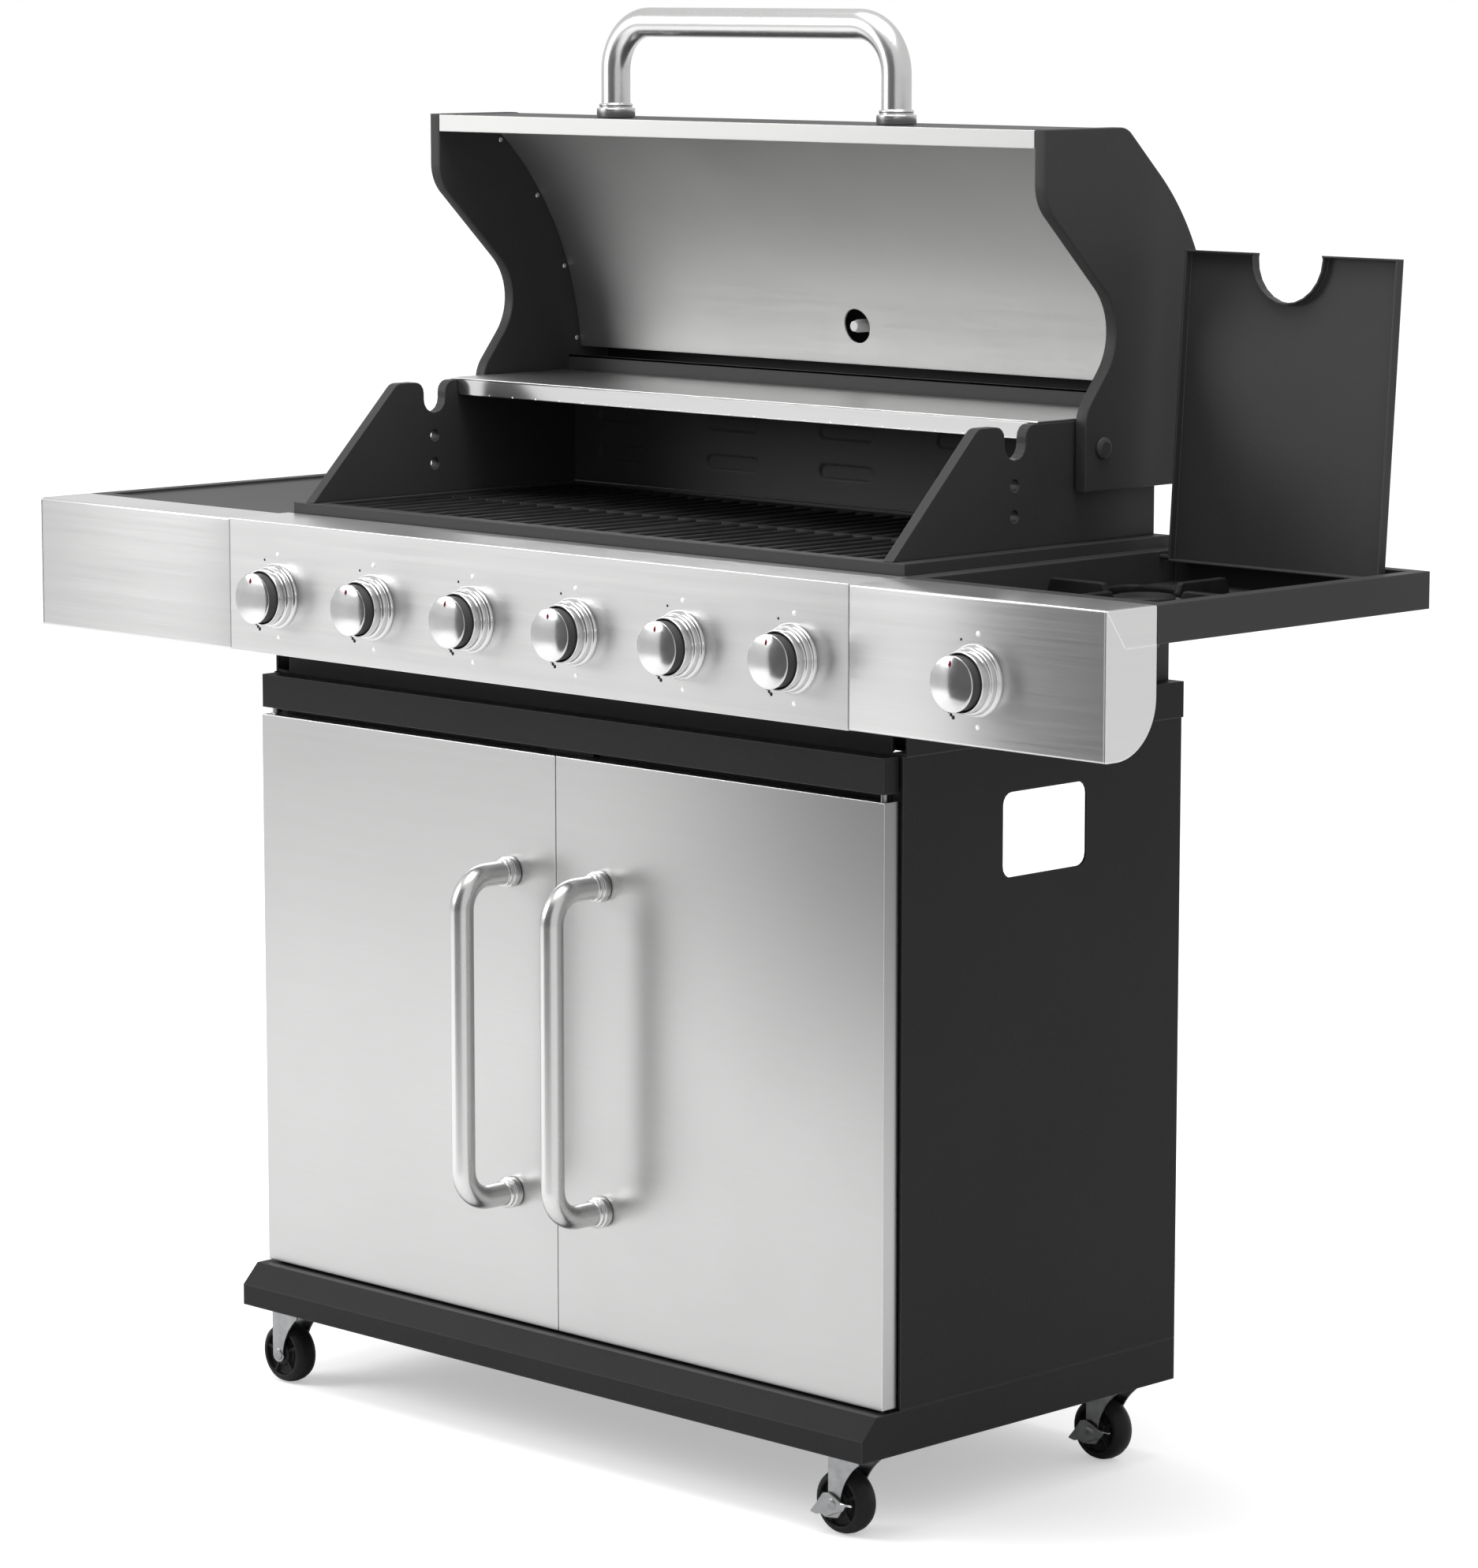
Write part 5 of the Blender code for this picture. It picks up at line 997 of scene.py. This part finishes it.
def makeBrake(corner):
    # a pressed lever: a wavy foot round the axle, a rising shoulder and a toe plate bent outwards
    low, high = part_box(f"caster_brake_{corner}")
    wheelLow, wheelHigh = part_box(f"caster_wheel_{corner}")
    hubX, hubZ = (wheelLow.x + wheelHigh.x) / 2.0, (wheelHigh.z - wheelLow.z) / 2.0
    corners = [(low.x, low.z + 0.0022), (low.x + 0.0070, low.z + 0.0006), (low.x + 0.0125, low.z + 0.0022),
               (low.x + 0.0180, low.z), (hubX + 0.0075, low.z + 0.0018), (hubX + 0.0120, hubZ - 0.0046),
               (hubX + 0.0135, hubZ - 0.0040), (hubX + 0.0160, hubZ + 0.0002),
               (hubX + 0.0150, hubZ + 0.0036), (hubX + 0.0110, hubZ + 0.0030),
               (hubX + 0.0040, hubZ + 0.0062), (hubX - 0.0045, high.z),
               (hubX - 0.0110, high.z - 0.0012), (low.x + 0.0080, hubZ - 0.0010)]
    radii = [0.0008, 0.0035, 0.0030, 0.0040, 0.0040, 0.0030, 0.0030,
             0.0015, 0.0015, 0.0060, 0.0040, 0.0028, 0.0040, 0.0050]
    lever = plateRings(softOutline(corners, radii, 5), low.y + 0.0008, high.y, "Y", 0.0004)
    # the toe leans outwards: y falls with the square of the distance past the hub
    lean = np.clip((hubX - 0.012 - lever[..., 0]) / (hubX - 0.012 - low.x), 0.0, 1.0)
    lever[..., 1] -= 0.0008 * lean**2
    pin = [(0.0050, high.y - 0.0010), (0.0050, low.y + 0.0006), (0.0042, low.y + 0.0001)]
    wire = [(0.0010, hubX + 0.0110), (0.0010, high.x - 0.0006), (0.0006, high.x)]
    wireSpot = (0.0, low.y + 0.0012, hubZ + 0.0022)
    shells = [solid(lever, 0), solid(turnedRings(pin, (hubX, 0.0, hubZ), "Y", 28), 0),
              solid(turnedRings(wire, wireSpot, "X", 14), 1)]
    makePiece(f"casterBrake_{corner}", shells, [zincPlate, chrome], f"brake_{corner}",
              [f"caster_brake_{corner}"], crease=34.0)


for corner in ("front_left", "front_right", "back_left", "back_right"):
    makeCaster(corner)
    if f"caster_brake_{corner}" in frame["nodes"]:
        makeBrake(corner)
print("casters made")


# cooking surfaces

embossLook = {"columns": 5, "pitch": 0.1535, "long": 0.0700, "tall": 0.0130, "rows": (0.0310, 0.0685),
              "depth": 0.0022, "soft": 0.0020, "sheet": 0.0016, "gridAcross": 560, "gridUp": 90}
low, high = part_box("firebox_back")
# back sheet: y is flat, then pushed back inside each slot by a smooth step, 3 s^2 - 2 s^3, of the
# distance from the slot's edge
x = np.linspace(low.x, high.x, embossLook["gridAcross"])
z = np.linspace(low.z, high.z, embossLook["gridUp"])
gridX, gridZ = np.meshgrid(x, z)
push = np.zeros_like(gridX)
for column in range(embossLook["columns"]):
    for row in embossLook["rows"]:
        centreX = (column - (embossLook["columns"] - 1) / 2.0) * embossLook["pitch"]
        dx = np.abs(gridX - centreX) - (embossLook["long"] - embossLook["tall"]) / 2.0
        away = np.hypot(np.clip(dx, 0.0, None), gridZ - low.z - row) - embossLook["tall"] / 2.0
        step = np.clip(0.5 - away / embossLook["soft"], 0.0, 1.0)
        push = np.maximum(push, step * step * (3.0 - 2.0 * step))
grid = np.stack([gridX, low.y + push * embossLook["depth"], gridZ], axis=-1)
sheet = embossLook["sheet"]
flange = plateRings([(low.y, high.z - sheet), (high.y, high.z - sheet), (high.y, high.z), (low.y, high.z)],
                    low.x, high.x, "X", 0.0005)
makePiece("fireboxBack", [solid(sheetRings(grid, (0.0, sheet, 0.0))), solid(flange)], [innerLitCoat], "cart",
          ["firebox_back"], crease=40.0)

grateLook = {"bars": 16, "barWide": 0.0078, "border": 0.0110, "crossWide": 0.0100, "crown": 0.0022}
for node in ("cooking_grate_left", "cooking_grate_right"):
    low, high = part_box(node)
    wide, border = grateLook["barWide"], grateLook["border"]
    shells = []
    # border and cross bars: blocks with well rounded tops
    for a, b in (((low.x, low.y), (high.x, low.y + border)), ((low.x, high.y - border), (high.x, high.y)),
                 ((low.x, (low.y + high.y - grateLook["crossWide"]) / 2.0),
                  (high.x, (low.y + high.y + grateLook["crossWide"]) / 2.0))):
        shells.append(solid(boxRings((*a, low.z), (*b, high.z - 0.0002), grateLook["crown"], "X")))
    step = (high.x - low.x - wide) / (grateLook["bars"] - 1)
    for bar in range(grateLook["bars"]):
        x = low.x + bar * step
        section = softOutline([(x, low.z), (x + wide, low.z), (x + wide, high.z), (x, high.z)],
                              [0.0006, 0.0006, grateLook["crown"], grateLook["crown"]], 4)
        shells.append(solid(plateRings(section, low.y, high.y, "Y", 0.00045, 2)))
    makePiece("cookingGrateLeft" if "left" in node else "cookingGrateRight", shells, [castIron],
              bodyOfNode[node], [node], crease=40.0)

rackLook = {"sheet": 0.0016, "lipInset": 0.0108, "lipCorner": 0.0060, "studs": 21, "studPitch": 0.0330}
low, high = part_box("warming_rack")
lipLeft, lipRight = low.x + rackLook["lipInset"], high.x - rackLook["lipInset"]
lip = softOutline([(lipLeft, low.z), (lipRight, low.z), (lipRight, high.z), (lipLeft, high.z)],
                  [rackLook["lipCorner"], rackLook["lipCorner"], 0.0010, 0.0010], 8)
deck = softOutline([(low.x, low.y), (high.x, low.y), (high.x, high.y), (low.x, high.y)],
                   [0.0, 0.0, 0.003, 0.003], 4)
shells = [solid(plateRings(lip, low.y, low.y + rackLook["sheet"], "Y", 0.0006, 4), 2),
          solid(plateRings(deck, high.z - rackLook["sheet"], high.z, "Z", 0.0005), 0)]
# small bright studs under the lip, one at each pitch
stud = [(0.0007, low.z), (0.0007, low.z + 0.0010)]
for place in range(rackLook["studs"]):
    x = (place - (rackLook["studs"] - 1) / 2.0) * rackLook["studPitch"]
    shells.append(solid(turnedRings(stud, (x, low.y + 0.0006, 0.0), "Z", 10), 1))
makePiece("warmingRack", shells, [brushedSteel, chrome, lipSteel], bodyOfNode["warming_rack"],
          ["warming_rack"], crease=30.0)

burnerLook = {"ports": 26, "portRadius": 0.0011, "portTall": 0.0016, "portLean": 0.9, "throat": 0.6,
              "throatLong": 0.030}
for number in range(1, 7):
    low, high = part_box(f"burner_{number}")
    centre = ((low.x + high.x) / 2.0, 0.0, (low.z + high.z) / 2.0)
    radius = (high.x - low.x) / 2.0
    flare = low.y + burnerLook["throatLong"]
    throat = radius * burnerLook["throat"]
    profile = [(throat, low.y), (throat, flare - 0.004), (radius * 0.72, flare + 0.004),
               (radius, flare + 0.014), (radius, high.y - 0.004), (radius - 0.0008, high.y - 0.0012),
               (radius - 0.0030, high.y)]
    shells = [solid(turnedRings(profile, centre, "Y", 28), 0)]
    for port in range(burnerLook["ports"]):
        y = flare + 0.030 + port * (high.y - flare - 0.045) / (burnerLook["ports"] - 1)
        for lean in (-burnerLook["portLean"], burnerLook["portLean"]):
            spot = np.array([centre[0] + radius * math.sin(lean), y,
                             centre[2] + radius * math.cos(lean) - 0.0012])
            profile = [(burnerLook["portRadius"], 0.0), (burnerLook["portRadius"], burnerLook["portTall"])]
            shells.append(solid(turnedRings(profile, spot, "Z", 8), 1))
    makePiece(f"burnerTube_{number}", shells, [brushedSteel, castIron], "cart",
              [f"burner_{number}"], crease=40.0)
print("cooking surfaces made")


# side burner

# profiles as (radius, height); the head's radius ripples once for each port
sideBurnerLook = {"ports": 36, "portDepth": 0.030}
low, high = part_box("side_burner")
centre = ((low.x + high.x) / 2.0, (low.y + high.y) / 2.0, 0.0)
drip = [(0.0110, low.z), (0.0125, low.z), (0.0230, low.z + 0.0180), (0.0232, low.z + 0.0310),
        (0.0376, low.z + 0.0314), (0.0380, low.z + 0.0324), (0.0378, low.z + 0.0332),
        (0.0345, low.z + 0.0340), (0.0338, low.z + 0.0350)]
head = [(0.0330, low.z + 0.0340), (0.0338, low.z + 0.0346), (0.0338, high.z - 0.0052),
        (0.0330, high.z - 0.0046), (0.0280, high.z - 0.0042)]
cover = [(0.0262, high.z - 0.0046), (0.0270, high.z - 0.0040), (0.0268, high.z - 0.0024),
         (0.0250, high.z - 0.0008), (0.0200, high.z - 0.0002), (0.0100, high.z), (0.0006, high.z)]
crownRings = turnedRings(head, centre, "Z", 216, sideBurnerLook["ports"], sideBurnerLook["portDepth"])
makePiece("sideBurner", [solid(turnedRings(drip, centre, "Z", 60), 0), solid(crownRings, 1),
                         solid(turnedRings(cover, centre, "Z", 60), 0)],
          [castIron, zincPlate], "cart", ["side_burner"], crease=38.0)

supportLook = {"bar": 0.0070, "corner": 0.018, "fingerIn": 0.042}
low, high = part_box("pan_support")
centreX, centreY = (low.x + high.x) / 2.0, (low.y + high.y) / 2.0
bar = supportLook["bar"]
rail = softOutline([(low.x + bar / 2, low.y + bar / 2), (high.x - bar / 2, low.y + bar / 2),
                    (high.x - bar / 2, high.y - bar / 2), (low.x + bar / 2, high.y - bar / 2)],
                   [supportLook["corner"] - bar / 2] * 4, 8)
# frame: a rounded section carried round the rail, section = centre + u * outward + v * up
barTop = low.z + bar
section = softOutline([(-bar / 2, low.z), (bar / 2, low.z), (bar / 2, barTop), (-bar / 2, barTop)],
                      [0.0010, 0.0010, 0.0022, 0.0022], 3)
outward = -leftNormals(rail, True)
around = rail[:, None] + outward[:, None] * section[None, :, :1]
height = np.broadcast_to(section[None, :, 1:], (len(rail), len(section), 1))
shells = [hoop(np.concatenate([around, height], axis=-1))]
# fingers: a side view that climbs a slope from the frame and ends in a rounded nose
reach = (high.x - low.x) / 2.0
near, far = supportLook["fingerIn"], reach - 0.0005
view = softOutline([(far, low.z + 0.0010), (far, barTop), (far - 0.006, high.z), (near + 0.004, high.z),
                    (near, high.z - 0.009), (near, high.z - 0.016), (far - 0.030, low.z + 0.0010)],
                   [0.0016, 0.0020, 0.0030, 0.0040, 0.0030, 0.0040, 0.0100], 5)
finger = plateRings(view, -bar / 2.0, bar / 2.0, "Y", 0.0012, 4)
for turn in range(4):
    c, s = (1, 0, -1, 0)[turn], (0, 1, 0, -1)[turn]
    placed = np.stack([centreX + c * finger[..., 0] - s * finger[..., 1],
                       centreY + s * finger[..., 0] + c * finger[..., 1], finger[..., 2]], axis=-1)
    shells.append(solid(placed))
makePiece("panSupport", shells, [castIron], bodyOfNode["pan_support"], ["pan_support"],
          crease=40.0)
print("side burner made")


# studio

studio = {"cameraPlace": (3.6096, -3.59435, 1.3613), "cameraTurn": (81.601, 0.0, 44.736), "lens": 125.66,
          "sensor": 36.0, "skyGrey": 0.80, "floorSize": 60.0, "floorLift": 0.42, "floorRough": 0.9,
          "floorDark": (0.86, 0.86, 0.86), "floorPale": (0.89, 0.89, 0.89),
          "flagAcross": (-1.15, 1.40), "flagUp": (0.02, 2.6), "flagAt": -2.08}
# each light: place, target, width, height, watts
lights = {"keyLight": ((-2.3, -2.3, 2.0), (-0.2, 0.0, 0.7), 1.6, 1.6, 62.0),
          "topLight": ((0.2, -0.3, 3.2), (0.0, 0.0, 0.8), 2.4, 1.6, 70.0)}

cameraData = bpy.data.cameras.new("productCamera")
cameraData.lens = studio["lens"]
cameraData.sensor_width = studio["sensor"]
camera = bpy.data.objects.new("productCamera", cameraData)
camera.location = studio["cameraPlace"]
camera.rotation_euler = [math.radians(a) for a in studio["cameraTurn"]]
bpy.context.scene.collection.objects.link(camera)
bpy.context.scene.camera = camera


def addSoftbox(name, place, target, width, height, watts):
    data = bpy.data.lights.new(name, "AREA")
    data.shape = "RECTANGLE"
    data.size = width
    data.size_y = height
    data.energy = watts
    lamp = bpy.data.objects.new(name, data)
    lamp.location = place
    lamp.rotation_euler = (Vector(target) - Vector(place)).to_track_quat("-Z", "Y").to_euler()
    lamp.visible_camera = False
    bpy.context.scene.collection.objects.link(lamp)


for lightName, settings in lights.items():
    addSoftbox(lightName, *settings)

# a dark flag in front, out of the picture, gives the polished parts something to reflect
flagData = bpy.data.meshes.new("darkFlag")
(left, right), (foot, top), flagY = studio["flagAcross"], studio["flagUp"], studio["flagAt"]
corners = [(left, flagY, foot), (right, flagY, foot), (right, flagY, top), (left, flagY, top)]
flagData.from_pydata(corners, [], [(0, 1, 2, 3)])
flagData.materials.append(flagCloth)
flag = bpy.data.objects.new("darkFlag", flagData)
bpy.context.scene.collection.objects.link(flag)
flag.visible_camera = False

# the sky is plain grey as a light, and white where the camera looks straight at it
world = bpy.data.worlds.new("studioWorld")
bpy.context.scene.world = world
world.use_nodes = True
sky = world.node_tree
seen = addNode(sky, "ShaderNodeLightPath")
skyTone = mixColour(sky, seen.outputs["Is Camera Ray"], (studio["skyGrey"],) * 3, (1.0, 1.0, 1.0))
sky.links.new(skyTone, sky.nodes["Background"].inputs["Color"])

floorMaterial, floorTree, floorShader, floorPlace = bareMaterial("paleFloor")
floorCloud = placeGroup(floorTree, handling, floorPlace, Size=0.6)
floorTone = mixColour(floorTree, floorCloud.outputs["Cloud"], studio["floorDark"], studio["floorPale"])
floorTree.links.new(floorTone, floorShader.inputs["Base Color"])
setInputs(floorShader, Roughness=studio["floorRough"], Specular_IOR_Level=0.0)
setInputs(floorShader, Emission_Color=(1.0, 1.0, 1.0, 1.0))
# the floor glows a little where the camera looks straight at it, so it meets the white sky
floorSeen = addNode(floorTree, "ShaderNodeLightPath")
floorGlow = mathNode(floorTree, "MULTIPLY", floorSeen.outputs["Is Camera Ray"], studio["floorLift"])
floorTree.links.new(floorGlow, floorShader.inputs["Emission Strength"])
half = studio["floorSize"] / 2.0
floorMesh = bpy.data.meshes.new("studioFloor")
corners = [(-half, -half, 0.0), (half, -half, 0.0), (half, half, 0.0), (-half, half, 0.0)]
floorMesh.from_pydata(corners, [], [(0, 1, 2, 3)])
floorMesh.materials.append(floorMaterial)
floor = bpy.data.objects.new("studioFloor", floorMesh)
bpy.context.scene.collection.objects.link(floor)
bpy.context.scene.view_settings.view_transform = "Standard"
print("studio set")
